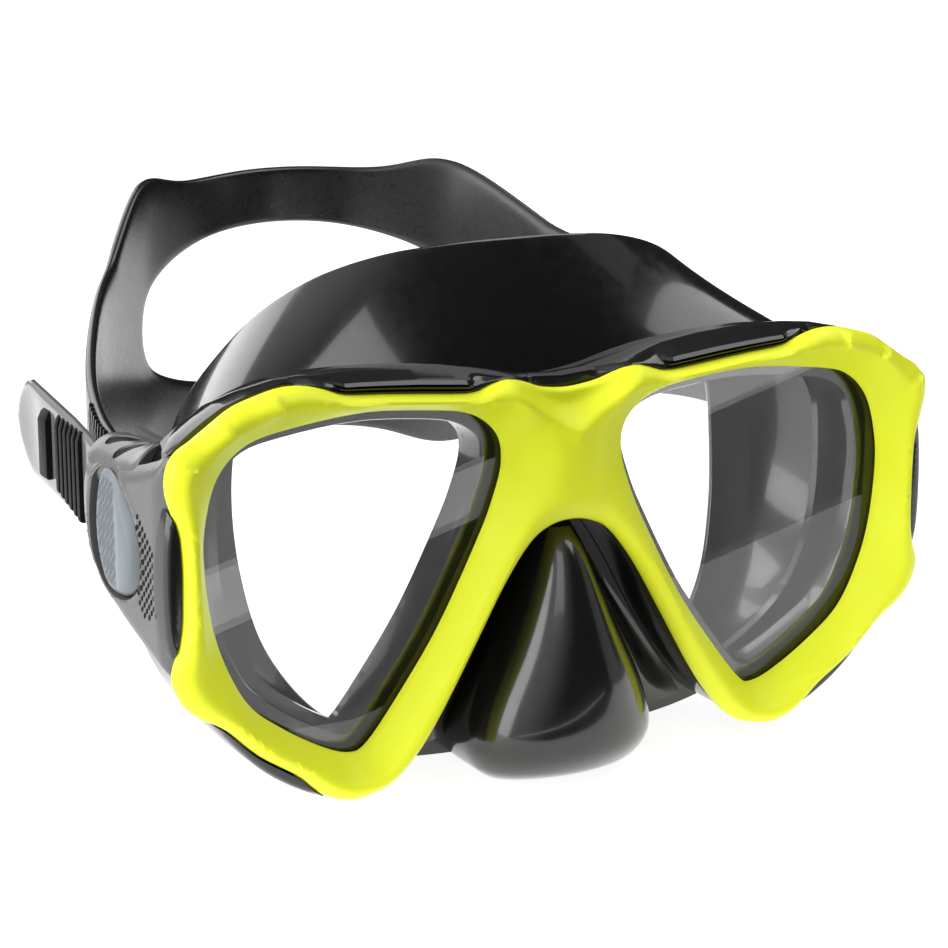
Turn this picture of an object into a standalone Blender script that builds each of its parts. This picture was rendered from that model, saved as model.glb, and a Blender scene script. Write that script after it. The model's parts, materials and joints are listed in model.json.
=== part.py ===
"""Two-lens dive mask with a split silicone strap and a push-button buckle on each side.

The mask faces -Y and stands upright on its nose pocket and cheek edges. Left and right
are the wearer's, so the wearer's left side is +X. Shapes are drawn in millimetres on
the mask's own datum: X = 0 is the middle, Y = 0 the front of the lens opening and
Z = 0 the lowest corner of the trim. One empty carries that datum to the world origin,
which is the middle of the mask's box on the surface that it stands on.
"""

import math

import bmesh
import bpy
from mathutils import Matrix, Vector

MM = 0.001
GAP = 0.3
WELD = 0.03

# The datum's place in the world, in millimetres.
DATUM_Y = -56.1
DATUM_Z = 3.0

# Depths along Y, front to back.
TRIM_CREST_Y = -6.5
TRIM_EDGE_Y = -3.0
TRIM_RIM_Y = -1.0
TRIM_BACK_Y = 1.0
LENS_FRONT_Y = 1.4
LENS_THICKNESS = 3.2
FRAME_FRONT_Y = TRIM_BACK_Y + GAP
FRAME_SEAT_Y = 6.8
FRAME_BACK_Y = 11.0
BEAD_BACK_Y = 6.4
SKIRT_WALL_Y = FRAME_BACK_Y + GAP
SKIRT_WALL = 1.9
NOSE_WALL = 1.6

# Strap, roller and button.
STRAP_WIDTH = 16.0
STRAP_THICK = 1.6
PAD_THICK = 2.2
STRAP_Z = 53.0
HINGE_Y = 33.0
ROLLER_X = 72.9
ROLLER_Y = 18.5
ROLLER_RADIUS = 1.5
ROLLER_PIN_RADIUS = 0.6
WRAP_RADIUS = 1.8
PIVOT_X = 75.6
PIVOT_Y = 14.0
PIVOT_RADIUS = 0.45
HUB_RADIUS = 1.0
LEVER_LOW_Z = 44.5
LEVER_HIGH_Z = 51.5
CAVITY_LOW_Z = 44.3
CAVITY_HIGH_Z = 61.7

# The buckle's outer face leans out towards the rear. Depths inside it are given at
# SLANT_Y and follow the same slope.
SLANT = 0.15
SLANT_Y = 17.0
WING_INNER_X = 74.1
POCKET_FLOOR = 76.35
PLATE_INNER = 76.65
PLATE_OUTER = 77.0
PAD_BACK = 77.3
SPRING_LOW_X = 74.9
SPRING_Y = 17.3
SPRING_Z = 41.0
SPRING_RADIUS = 0.8
SPRING_WIRE = 0.2

# The strap's free tail.
TAIL_SLOPE = 0.125
TAIL_ROUND_Y = 56.0
TAIL_END_Y = 66.0

# Right half of each closed outline as (x, z), from the top middle to the bottom middle.
TRIM_HALF = [
    (0, 68.2), (5, 68.8), (9, 70.3), (12.5, 71.2), (15.5, 70.6), (18.5, 69.6), (22, 69.7),
    (28, 70.3), (36, 71.1), (43, 71.7), (46.5, 73), (50.5, 74.3), (55, 74.3), (60, 73),
    (66, 70.3), (70.6, 67), (73.6, 63), (74.8, 58), (74.5, 53), (73.2, 49), (72.8, 43),
    (73, 36), (73.8, 31.5), (75, 27.5), (73.2, 22.6), (70, 19.5), (66, 17.2), (60, 11.5),
    (53, 6.8), (50, 4), (47, 1.8), (43, 0.6), (39.5, 1), (35, 2.6), (30, 7.2), (25, 14.5),
    (18.5, 26), (13, 35.5), (8, 42), (4, 44.3), (0, 44.9),
]
FRAME_HALF = [
    (0, 69.6), (8, 70.3), (15, 72.5), (22, 74.2), (30, 75.4), (38, 76), (46, 76), (54, 75),
    (62, 72.6), (69, 68), (72.7, 63), (73.7, 56), (73.7, 45), (73.7, 35), (72.8, 28),
    (70.2, 21.5), (65.6, 15.5), (59.8, 9.2), (54, 4.6), (48, 1.2), (43, 0), (38, 1.2),
    (33, 4.5), (27.5, 11.5), (21, 22), (15, 33), (10, 40.5), (5, 44.8), (0, 46.2),
]
# Opening of the left lens as (x, z), clockwise from the inner top corner.
WINDOW = [
    (12.6, 60.8), (17, 64.6), (24, 66.5), (38, 67.6), (52, 66.3), (60, 64.3), (65, 59.5),
    (67.3, 52), (67.7, 45), (66.6, 35), (64.2, 27), (60.2, 19.6), (54, 14.3), (46.7, 9.8),
    (41.5, 7.8), (38, 9), (31.4, 17.2), (24, 28), (16.6, 42), (13.6, 48.8), (11.7, 55.5),
]
# Right half of the skirt's loops as (x, y, z), from the forehead to the upper lip.
SKIRT_ROOT_HALF = [
    (0, 11.3, 66), (12, 11.3, 68), (25, 11.3, 70.5), (40, 11.3, 72), (52, 11.3, 71),
    (61, 11.3, 67.2), (65.8, 11.3, 60), (67, 11.3, 50), (66.6, 11.3, 38), (64, 11.3, 27),
    (58.5, 11.3, 17), (50, 11.3, 9.5), (40, 11.3, 4.2), (28, 11.3, 1.2), (13, 11.3, 0), (0, 11.3, 0),
]
SKIRT_EDGE_HALF = [
    (0, 20, 91.5), (12, 20.6, 91.2), (24, 22.6, 89.8), (35, 26, 86.2), (44, 30, 80),
    (51, 33.5, 72), (57, 35.5, 63), (60.5, 35.5, 52), (60.5, 33.5, 38), (56.6, 31, 22),
    (49, 28.5, 8.5), (40, 27, -0.5), (32, 26, -3), (21, 25, -3), (10, 24.4, -3), (0, 24.2, -3),
]
SKIRT_LIP_HALF = [
    (0, 24, 80), (10, 24.4, 79.8), (20, 25.4, 78.8), (31, 27.6, 75.6), (40, 30, 70.6),
    (46, 31.6, 64), (49, 32.2, 57), (50, 32.2, 47), (49.4, 31, 35), (46.6, 29.2, 22),
    (41, 27.6, 12), (34, 26.3, 5), (27, 25.5, 2), (18, 24.9, 1.2), (9, 24.5, 1), (0, 24.3, 1),
]
# Nose pocket sections: height, half width and front.
NOSE_SECTIONS = [
    (-3, 10, 1.5), (-1.9, 13.6, -4), (1, 16.6, -9.2), (6, 18, -12.4), (14, 15.8, -12.2),
    (24, 11.2, -10), (33, 7.4, -6.8), (39, 5, -3.9), (43, 3, -0.6),
]
# Plan of the strap's middle surface, from the back of the head to the left buckle.
STRAP_PLAN_HALF = [
    (0, 123.5), (16, 120.5), (32, 111), (40, 102), (49, 89.5), (55, 80), (60, 70),
    (65, 58), (69, 44), (70.3, HINGE_Y), (70.3, 20),
]
# Side profile of the buckle wing as (y, z), and how far its top rises nearer the frame.
WING_PROFILE = [
    (1.4, 62.4), (7, 61.2), (13, 60.2), (19, 59.5), (24, 59.2), (26.2, 57), (27, 53),
    (26.7, 48), (25, 42.6), (20.8, 37.4), (15.4, 33.7), (7.3, 28.8), (1.4, 25.4),
]
WING_LAYERS = [(76.6, 0, 2.2), (77.5, 0.02, 0.8), (77.9, 0.07, 0)]
# Height and sideways move of the wing, which follows the frame's narrowing side.
WING_STATIONS = [(10, -12.0), (15.5, -7.6), (21.5, -3.1), (28, -0.6), (34, 0), (90, 0)]
BUTTON_PROFILE = [
    (16.4, 58.8), (19.2, 57.6), (20.9, 52.6), (21.3, 47.3), (20.2, 42.3), (17.6, 38.4),
    (12.2, 37.9), (8.2, 40.2), (7.1, 43.7), (7.3, 47.6), (9, 51.8), (12.8, 56.6),
]


def clear_scene():
    for item in list(bpy.data.objects):
        bpy.data.objects.remove(item, do_unlink=True)


def catmull_rom(p0, p1, p2, p3, t):
    """One point of the smooth curve from p1 to p2."""
    return 0.5 * (
        2 * p1 + (p2 - p0) * t
        + (2 * p0 - 5 * p1 + 4 * p2 - p3) * t * t
        + (3 * p1 - p0 - 3 * p2 + p3) * t ** 3
    )


def smooth_loop(points, steps):
    """A closed curve through the points, with the given steps between neighbours."""
    ring = [Vector(p) for p in points]
    total = len(ring)
    curve = []
    for i in range(total):
        corners = [ring[(i + k) % total] for k in (-1, 0, 1, 2)]
        for step in range(steps):
            curve.append(catmull_rom(*corners, step / steps))
    return curve


def smooth_path(points, steps):
    """An open curve through the points."""
    line = [Vector(p) for p in points]
    padded = [2 * line[0] - line[1], *line, 2 * line[-1] - line[-2]]
    curve = []
    for i in range(1, len(padded) - 2):
        for step in range(steps):
            curve.append(catmull_rom(*padded[i - 1:i + 3], step / steps))
    curve.append(line[-1])
    return curve


def mirrored(half):
    """A whole loop from its right half, which starts and ends on X = 0."""
    left = [(-p[0], *p[1:]) for p in half[-2:0:-1]]
    return list(half) + left


def signed_area(loop):
    pairs = zip(loop, loop[1:] + loop[:1])
    return 0.5 * sum(a[0] * b[1] - b[0] * a[1] for a, b in pairs)


def offset_loop(loop, distance):
    """The flat loop grown outwards by a distance, or shrunk by a negative one."""
    side = -1 if signed_area(loop) > 0 else 1
    total = len(loop)
    grown = []
    for i, point in enumerate(loop):
        along = (loop[(i + 1) % total] - loop[i - 1]).normalized()
        grown.append(point + side * distance * Vector((-along.y, along.x)))
    return grown


def shrunk(loop, share):
    """The loop drawn a share of the way towards its middle."""
    middle = sum(loop, Vector((0, 0))) / len(loop)
    return [p.lerp(middle, share) for p in loop]


def flipped(loop):
    return [Vector((-p.x, *p[1:])) for p in loop]


def at_y(loop, y):
    """A flat (x, z) loop stood up at one depth."""
    return [Vector((p.x, y, p.y)) for p in loop]


def at_x(loop, x):
    """A flat (y, z) loop as a section across X."""
    return [Vector((x, p.x, p.y)) for p in loop]


def fill_cap(bm, rings):
    """Close the outline rings with triangles and leave the holes open."""
    edges = []
    for ring in rings:
        for a, b in zip(ring, ring[1:] + ring[:1]):
            edges.append(bm.edges.get((a, b)) or bm.edges.new((a, b)))
    bmesh.ops.triangle_fill(bm, use_beauty=True, use_dissolve=False, edges=edges)


def layered_solid(layers):
    """A closed solid through layers of matching loops, with a cap on each end.

    Each layer is a list of loops: its outline first, then its holes.
    """
    bm = bmesh.new()
    rings = [[[bm.verts.new(p) for p in loop] for loop in layer] for layer in layers]
    for lower, upper in zip(rings, rings[1:]):
        for ring_a, ring_b in zip(lower, upper):
            total = len(ring_a)
            for i in range(total):
                j = (i + 1) % total
                bm.faces.new((ring_a[i], ring_a[j], ring_b[j], ring_b[i]))
    fill_cap(bm, rings[0])
    fill_cap(bm, rings[-1])
    bmesh.ops.recalc_face_normals(bm, faces=bm.faces)
    return bm


def merge(*parts):
    """Several separate closed shells in one mesh."""
    whole = bmesh.new()
    for part in parts:
        shell = bpy.data.meshes.new("shell")
        part.to_mesh(shell)
        part.free()
        whole.from_mesh(shell)
        bpy.data.meshes.remove(shell)
    return whole


def block(low, high):
    """A box between two corners."""
    bm = bmesh.new()
    bmesh.ops.create_cube(bm, size=1)
    size = Vector(high) - Vector(low)
    middle = (Vector(high) + Vector(low)) / 2
    bmesh.ops.transform(bm, matrix=Matrix.Translation(middle) @ Matrix.Diagonal((*size, 1)), verts=bm.verts)
    return bm


def upright_rod(x, y, low_z, high_z, radius, sides=20):
    """A cylinder along Z."""
    bm = bmesh.new()
    place = Matrix.Translation((x, y, (low_z + high_z) / 2))
    bmesh.ops.create_cone(
        bm, cap_ends=True, segments=sides, radius1=radius, radius2=radius,
        depth=high_z - low_z, matrix=place,
    )
    return bm


def make_material(name, colour, roughness, metallic=0.0, alpha=1.0):
    material = bpy.data.materials.new(name)
    material.use_nodes = True
    shader = material.node_tree.nodes["Principled BSDF"]
    shader.inputs["Base Color"].default_value = (*colour, 1)
    shader.inputs["Roughness"].default_value = roughness
    shader.inputs["Metallic"].default_value = metallic
    shader.inputs["Alpha"].default_value = alpha
    return material


def make_object(name, bm, material, datum, pivot=(0, 0, 0), side=1, smooth=True):
    """A node from a mesh in millimetres; side -1 mirrors it to the wearer's right."""
    if side < 0:
        bmesh.ops.transform(bm, matrix=Matrix.Diagonal((-1, 1, 1, 1)), verts=bm.verts)
        bmesh.ops.reverse_faces(bm, faces=bm.faces)
    origin = Vector((side * pivot[0], pivot[1], pivot[2]))
    bmesh.ops.transform(bm, matrix=Matrix.Scale(MM, 4) @ Matrix.Translation(-origin), verts=bm.verts)
    mesh = bpy.data.meshes.new(name)
    bm.to_mesh(mesh)
    bm.free()
    mesh.materials.append(material)
    if smooth:
        mesh.shade_smooth()
        mesh.set_sharp_from_angle(angle=math.radians(35))
    item = bpy.data.objects.new(name, mesh)
    item.location = origin * MM
    item.parent = datum
    bpy.context.scene.collection.objects.link(item)
    return item


def add_boolean(target, tool, operation):
    """Cut or join with a helper object, which is kept but not built."""
    tool.hide_render = True
    tool.display_type = "WIRE"
    modifier = target.modifiers.new(operation.title(), "BOOLEAN")
    modifier.operation = operation
    modifier.solver = "EXACT"
    modifier.object = tool


def add_weld(target):
    """Close the hairline edges that cuts leave where they nearly meet."""
    modifier = target.modifiers.new("Weld", "WELD")
    modifier.merge_threshold = WELD * MM


def frame_loops():
    """The left lens window and the whole outlines of trim and frame."""
    window = smooth_loop(WINDOW, 2)
    trim = smooth_loop(mirrored(TRIM_HALF), 1)
    frame = smooth_loop(mirrored(FRAME_HALF), 2)
    return window, trim, frame


def build_trim(window, trim, material, datum):
    layers = []
    for y, shrink, widen in (
        (TRIM_BACK_Y, 1.6, 0), (TRIM_RIM_Y, 0, 0), (TRIM_EDGE_Y, 0, 0), (TRIM_CREST_Y, 1.2, 1.0),
    ):
        hole = offset_loop(window, widen)
        layers.append([
            at_y(offset_loop(trim, -shrink), y), at_y(hole, y), at_y(flipped(hole), y),
        ])
    return make_object("trim_bezel", layered_solid(layers), material, datum)


def build_frame(window, frame, material, datum):
    pocket = offset_loop(window, 2.7)
    throat = offset_loop(window, -0.6)
    layers = []
    for y, shrink, hole in (
        (FRAME_FRONT_Y, 0.4, pocket), (FRAME_FRONT_Y + 1, 0, pocket), (FRAME_SEAT_Y, 0, pocket),
        (FRAME_SEAT_Y, 0, throat), (FRAME_BACK_Y - 1, 0, throat), (FRAME_BACK_Y, 0.8, throat),
    ):
        layers.append([
            at_y(offset_loop(frame, -shrink), y), at_y(hole, y), at_y(flipped(hole), y),
        ])
    # The pocket's floor is a step inside one wall, so the outline repeats there.
    bm = layered_solid(layers)
    bmesh.ops.remove_doubles(bm, verts=bm.verts, dist=0.0001)
    bmesh.ops.recalc_face_normals(bm, faces=bm.faces)
    return make_object("main_frame", bm, material, datum)


def build_lens(name, window, side, material, datum):
    edge = offset_loop(window, 2.3)
    face = offset_loop(window, 2.0)
    back_y = LENS_FRONT_Y + LENS_THICKNESS
    layers = [
        [at_y(face, LENS_FRONT_Y)], [at_y(edge, LENS_FRONT_Y + 0.3)],
        [at_y(edge, back_y - 0.3)], [at_y(face, back_y)],
    ]
    return make_object(name, layered_solid(layers), material, datum, side=side)


def inward(loop, distance):
    """A 3-D loop drawn towards the mask's middle, seen from the front."""
    flat = [Vector((p.x, p.z)) for p in loop]
    moved = offset_loop(flat, -distance)
    return [Vector((m.x, p.y, m.y)) for m, p in zip(moved, loop)]


def between(loop_a, loop_b, t, bulge):
    """A loop part of the way from one to the other, swelled outwards in the middle."""
    mixed = [a.lerp(b, t) for a, b in zip(loop_a, loop_b)]
    return inward(mixed, -bulge * 4 * t * (1 - t))


def shifted(loop, dy):
    return [p + Vector((0, dy, 0)) for p in loop]


def inside_fold(root, edge, lip):
    """The inner corner where the wall folds into the lip, one wall thickness from both."""
    corner = []
    for a, b, c in zip(root, edge, lip):
        wall = (a - b).normalized()
        flange = (c - b).normalized()
        half_angle = wall.angle(flange) / 2
        corner.append(b + (wall + flange).normalized() * SKIRT_WALL / math.sin(half_angle))
    return corner


def skirt_cup():
    """The skirt's wall from the frame to the face, closed by its front panel."""
    root = smooth_loop(mirrored(SKIRT_ROOT_HALF), 2)
    edge = smooth_loop(mirrored(SKIRT_EDGE_HALF), 2)
    lip = smooth_loop(mirrored(SKIRT_LIP_HALF), 2)
    steps = (0.25, 0.5, 0.75)
    outer = [root] + [between(root, edge, t, 0.6) for t in steps] + [edge]
    inner_edge = inside_fold(root, edge, lip)
    inner_root = shifted(inward(root, SKIRT_WALL), SKIRT_WALL)
    inner = [inner_edge] + [between(inner_edge, inner_root, t, 0.6) for t in steps] + [inner_root]
    rings = outer + [lip, shifted(lip, -1.6)] + inner
    return layered_solid([[ring] for ring in rings])


def nose_section(z, half_width, front_y, back_y):
    """A flat-backed U shape round the nose."""
    side_y = 3.5
    points = [Vector((half_width, back_y, z))]
    for i in range(13):
        turn = math.pi * i / 12
        across = half_width * math.cos(turn)
        points.append(Vector((across, side_y - (side_y - front_y) * math.sin(turn), z)))
    points.append(Vector((-half_width, back_y, z)))
    return points


def nose_solid(wall, back_y):
    """The nose pocket's outside, or its hollow when a wall thickness is given."""
    sections = NOSE_SECTIONS[1:] if wall else NOSE_SECTIONS
    lowest = NOSE_SECTIONS[0][0] + wall
    highest = NOSE_SECTIONS[-1][0] - wall
    layers = []
    for z, half_width, front_y in sections:
        height = min(max(z, lowest), highest)
        layers.append([nose_section(height, half_width - wall, front_y + wall, back_y)])
    return layered_solid(layers)


def skirt_neck(window, flange, tube, front_y):
    """What fills one lens opening: a bead behind the glass and a tube through the frame."""
    layers = [
        [at_y(offset_loop(window, flange), front_y)],
        [at_y(offset_loop(window, flange), BEAD_BACK_Y)],
        [at_y(offset_loop(window, tube), BEAD_BACK_Y)],
        [at_y(offset_loop(window, tube), SKIRT_WALL_Y + 1)],
    ]
    return layered_solid(layers)


def build_skirt(window, material, datum):
    skirt = make_object("skirt", skirt_cup(), material, datum)
    bead_front = LENS_FRONT_Y + LENS_THICKNESS + GAP
    for side, label in ((1, "left"), (-1, "right")):
        neck = skirt_neck(window, 2.3, -0.9, bead_front)
        tool = make_object(f"skirt_neck_{label}", neck, material, datum, side=side)
        add_boolean(skirt, tool, "UNION")
    nose = make_object("nose_outside", nose_solid(0, SKIRT_WALL_Y + 1), material, datum)
    add_boolean(skirt, nose, "UNION")
    for side, label in ((1, "left"), (-1, "right")):
        hole = offset_loop(window, -2.5)
        bore = layered_solid([[at_y(hole, bead_front - 1)], [at_y(hole, SKIRT_WALL_Y + 4)]])
        tool = make_object(f"skirt_bore_{label}", bore, material, datum, side=side)
        add_boolean(skirt, tool, "DIFFERENCE")
    hollow = make_object("nose_inside", nose_solid(NOSE_WALL, SKIRT_WALL_Y + 4), material, datum)
    add_boolean(skirt, hollow, "DIFFERENCE")
    add_weld(skirt)
    return skirt


def wing_shift(z):
    """How far the buckle wing moves in towards the narrowing frame below its middle."""
    for (z0, x0), (z1, x1) in zip(WING_STATIONS, WING_STATIONS[1:]):
        if z <= z1:
            return x0 + (x1 - x0) * (z - z0) / (z1 - z0)
    return 0.0


def slanted(depth, y):
    """X of a depth inside the leaning outer face."""
    return depth + SLANT * (y - SLANT_Y)


def at_depth(loop, depth):
    """A flat (y, z) loop laid on the leaning face."""
    return [Vector((slanted(depth, p.x), p.x, p.y)) for p in loop]


def raised_top(loop, rise):
    """The wing's profile with its top edge lifted."""
    return [Vector((p.x, p.y + rise * min(1, max(0, (p.y - 54) / 4)))) for p in loop]


def build_wing():
    """The outer shell of the buckle, flat against the frame and leaning outside."""
    profile = smooth_loop(WING_PROFILE, 2)
    layers = [[at_x(raised_top(profile, WING_LAYERS[0][2]), WING_INNER_X)]]
    for depth, share, rise in WING_LAYERS:
        layers.append([at_depth(shrunk(raised_top(profile, rise), share), depth)])
    wing = layered_solid(layers)
    for z, _ in WING_STATIONS[1:-1]:
        whole = wing.verts[:] + wing.edges[:] + wing.faces[:]
        bmesh.ops.bisect_plane(wing, geom=whole, plane_co=(0, 0, z), plane_no=(0, 0, 1))
    bmesh.ops.remove_doubles(wing, verts=wing.verts, dist=WELD)
    for vertex in wing.verts:
        vertex.co.x += wing_shift(vertex.co.z)
    return wing


def build_housing(label, side, material, datum):
    name = f"buckle_housing_{label}"
    housing = make_object(name, build_wing(), material, datum, side=side)
    low_y = FRAME_BACK_Y + 0.5
    body = block((69.3, low_y, CAVITY_LOW_Z - 2), (75.6, 26.4, CAVITY_HIGH_Z + 1.3))
    cavity = block((68, 14.6, CAVITY_LOW_Z), (76.7, 34, CAVITY_HIGH_Z))
    pocket_loop = offset_loop(smooth_loop(BUTTON_PROFILE, 2), 0.5)
    pocket = layered_solid([[at_depth(pocket_loop, POCKET_FLOOR)], [at_depth(pocket_loop, 83)]])
    window = block((74, 12.5, LEVER_LOW_Z - 0.5), (77.5, 21.5, LEVER_HIGH_Z + 0.5))
    slots = merge(
        block((69.0, 15.5, 60), (71.2, 24, 66)),
        block((73.5, 15.5, 60), (75.2, 24, 66)),
    )
    holes = merge(
        upright_rod(ROLLER_X, ROLLER_Y, CAVITY_LOW_Z - 1.4, CAVITY_HIGH_Z + 0.9, ROLLER_PIN_RADIUS + GAP, 16),
        upright_rod(PIVOT_X, PIVOT_Y, LEVER_LOW_Z - 3, LEVER_HIGH_Z + 3, PIVOT_RADIUS + GAP, 16),
        spring_hole(),
    )
    for tool_name, tool_mesh, operation in (
        ("body", body, "UNION"), ("cavity", cavity, "DIFFERENCE"),
        ("pocket", pocket, "DIFFERENCE"), ("window", window, "DIFFERENCE"),
        ("slots", slots, "DIFFERENCE"), ("holes", holes, "DIFFERENCE"),
    ):
        tool = make_object(f"{name}_{tool_name}", tool_mesh, material, datum, side=side)
        add_boolean(housing, tool, operation)
    add_weld(housing)
    return housing


def build_base(label, side, material, datum):
    """The plate that closes the buckle on the head side."""
    plate = block((67.6, 12.8, CAVITY_LOW_Z - 2), (69.0, 26.4, CAVITY_HIGH_Z + 1.3))
    return make_object(f"buckle_base_{label}", plate, material, datum, side=side, smooth=False)


def build_button(label, side, material, datum):
    """The finger pad, a low almond on the lever."""
    profile = smooth_loop(BUTTON_PROFILE, 2)
    layers = []
    for depth, share in ((PAD_BACK, 0), (77.9, 0), (78.3, 0.1), (78.45, 0.3)):
        layers.append([at_depth(shrunk(profile, share), depth)])
    pivot = (PIVOT_X, PIVOT_Y, 48)
    return make_object(f"release_button_{label}", layered_solid(layers), material, datum, pivot, side)


def around(x, y, radius, turn):
    angle = math.radians(turn)
    return x + radius * math.cos(angle), y + radius * math.sin(angle)


def build_pawl(label, side, material, datum):
    """The lever under the pad: a plate, a hub round the pivot pin and a toothed nose."""
    rear = [around(PIVOT_X, PIVOT_Y, HUB_RADIUS, turn) for turn in (66, 85, 103, 120)]
    front = [around(PIVOT_X, PIVOT_Y, HUB_RADIUS, turn) for turn in (165, 190, 215, 240, 265)]
    outline = [
        (slanted(PLATE_OUTER, 10.5), 10.5), (slanted(PLATE_OUTER, 20.4), 20.4),
        (slanted(PLATE_INNER, 20.4), 20.4), (slanted(PLATE_INNER, 16), 16),
        *rear, (PIVOT_X - 1.15, PIVOT_Y + 1.05), *front,
        (slanted(PLATE_INNER, 12.6), 12.6), (slanted(PLATE_INNER, 10.5), 10.5),
    ]
    bore = [around(PIVOT_X, PIVOT_Y, PIVOT_RADIUS + 0.15, turn) for turn in range(0, 360, 30)]
    layers = []
    for z in (LEVER_LOW_Z, LEVER_HIGH_Z):
        layers.append([[Vector((*p, z)) for p in loop] for loop in (outline, bore)])
    pivot = (PIVOT_X, PIVOT_Y, 48)
    return make_object(f"ratchet_pawl_{label}", layered_solid(layers), material, datum, pivot, side)


def spring_hole():
    """The blind hole in the pocket's floor that holds the spring."""
    bm = bmesh.new()
    place = Matrix.Translation(((SPRING_LOW_X + 77) / 2, SPRING_Y, SPRING_Z)) @ Matrix.Rotation(math.pi / 2, 4, "Y")
    bmesh.ops.create_cone(
        bm, cap_ends=True, segments=16, radius1=1.35, radius2=1.35,
        depth=77 - SPRING_LOW_X, matrix=place,
    )
    return bm


def build_spring(label, side, material, datum):
    """A small compression spring that pushes the pad's rear half out."""
    turns = 3
    steps = 10
    low_x = SPRING_LOW_X + SPRING_WIRE + GAP
    high_x = slanted(PAD_BACK, SPRING_Y) - SPRING_WIRE - 0.35
    bm = bmesh.new()
    rings = []
    total = turns * steps
    for i in range(total + 1):
        angle = 2 * math.pi * i / steps
        outwards = Vector((0, math.cos(angle), math.sin(angle)))
        x = low_x + (high_x - low_x) * i / total
        centre = Vector((x, SPRING_Y, SPRING_Z)) + SPRING_RADIUS * outwards
        ring = []
        for k in range(5):
            turn = 2 * math.pi * k / 5
            reach = SPRING_WIRE * (math.cos(turn) * outwards + Vector((math.sin(turn), 0, 0)))
            ring.append(bm.verts.new(centre + reach))
        rings.append(ring)
    for ring_a, ring_b in zip(rings, rings[1:]):
        for k in range(5):
            bm.faces.new((ring_a[k], ring_a[(k + 1) % 5], ring_b[(k + 1) % 5], ring_b[k]))
    bm.faces.new(rings[0])
    bm.faces.new(rings[-1])
    bmesh.ops.recalc_face_normals(bm, faces=bm.faces)
    return make_object(f"button_spring_{label}", bm, material, datum, side=side)


def build_roller(label, side, material, datum):
    """A tube on a steel pin that the strap turns round."""
    circle = [Vector(around(ROLLER_X, ROLLER_Y, ROLLER_RADIUS, turn)) for turn in range(0, 360, 18)]
    bore = [Vector(around(ROLLER_X, ROLLER_Y, ROLLER_PIN_RADIUS + 0.25, turn)) for turn in range(0, 360, 18)]
    layers = []
    for z in (CAVITY_LOW_Z + GAP, CAVITY_HIGH_Z - GAP):
        layers.append([[Vector((*p, z)) for p in loop] for loop in (circle, bore)])
    pivot = (ROLLER_X, ROLLER_Y, STRAP_Z)
    return make_object(f"strap_roller_{label}", layered_solid(layers), material, datum, pivot, side)


def tail_half_width(y):
    """The free tail widens a little, then ends in a curve."""
    width = STRAP_WIDTH / 2 + 1.2 * min(1, max(0, (y - 28) / 20))
    if y <= TAIL_ROUND_Y:
        return width
    across = min(1.0, (y - TAIL_ROUND_Y) / (TAIL_END_Y - TAIL_ROUND_Y))
    return width * math.sqrt(max(0.06, 1 - across * across))


def tail_stations():
    """Places along the free tail as (y, extra thickness): six ribs, one broad bar, round end."""
    stations = [(28.0, 0.0)]
    for number in range(6):
        rib_y = 33.1 + 2.1 * number
        stations += [(rib_y - 0.55, 0.0), (rib_y - 0.4, 0.6), (rib_y + 0.4, 0.6), (rib_y + 0.55, 0.0)]
    stations += [(47.8, 0.0), (48.1, 0.9), (51.9, 0.9), (52.2, 0.0)]
    stations += [(TAIL_ROUND_Y, 0.0), (61.0, 0.0), (64.0, 0.0), (TAIL_END_Y, 0.0)]
    return stations


def build_strap_end(label, side, material, datum):
    """The strap from its hinge round the roller and out to the ribbed free tail."""
    inner = WRAP_RADIUS
    outer = WRAP_RADIUS + STRAP_THICK
    clear = STRAP_WIDTH / 2 + 0.5
    rows = 7
    bm = bmesh.new()
    rings = []
    turned = [
        (around(ROLLER_X, ROLLER_Y, inner, turn), around(ROLLER_X, ROLLER_Y, outer, turn))
        for turn in range(180, 361, 18)
    ]
    free = [((ROLLER_X + inner, y), (ROLLER_X + outer + extra, y)) for y, extra in tail_stations()]
    for number, pair in enumerate([None, *turned, *free]):
        faces = []
        for k in range(2):
            row_line = []
            for row in range(rows):
                across = -1 + 2 * row / (rows - 1)
                if pair is None:
                    reach = across * STRAP_WIDTH / 2
                    x = ROLLER_X - (inner, outer)[k]
                    y = HINGE_Y - math.sqrt(clear * clear - reach * reach)
                else:
                    x, y = pair[k]
                on_tail = number > len(turned)
                half = tail_half_width(y) if on_tail else STRAP_WIDTH / 2
                rise = TAIL_SLOPE * max(0.0, y - 28) if on_tail else 0.0
                row_line.append(bm.verts.new((x, y, STRAP_Z + across * half + rise)))
            faces.append(row_line)
        rings.append(faces[0] + faces[1][::-1])
    for ring_a, ring_b in zip(rings, rings[1:]):
        total = len(ring_a)
        for i in range(total):
            j = (i + 1) % total
            bm.faces.new((ring_a[i], ring_a[j], ring_b[j], ring_b[i]))
    for ring in (rings[0], rings[-1]):
        for i in range(rows - 1):
            bm.faces.new((ring[i], ring[i + 1], ring[-2 - i], ring[-1 - i]))
    bmesh.ops.recalc_face_normals(bm, faces=bm.faces)
    return make_object(f"strap_end_{label}", bm, material, datum, side=side)


def strap_surface():
    """Distance along the strap's plan, with the curve's point and direction there."""
    curve = smooth_path(STRAP_PLAN_HALF, 12)
    lengths = [0.0]
    for a, b in zip(curve, curve[1:]):
        lengths.append(lengths[-1] + (b - a).length)

    def point_at(distance):
        target = min(abs(distance), lengths[-1])
        i = 0
        while lengths[i + 1] < target:
            i += 1
        share = (target - lengths[i]) / (lengths[i + 1] - lengths[i])
        point = curve[i].lerp(curve[i + 1], share)
        return Vector((math.copysign(point.x, distance), point.y))

    hinge = 0.0
    for length, point in zip(lengths, curve):
        if point.y >= HINGE_Y:
            hinge = length
    return point_at, hinge


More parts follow.
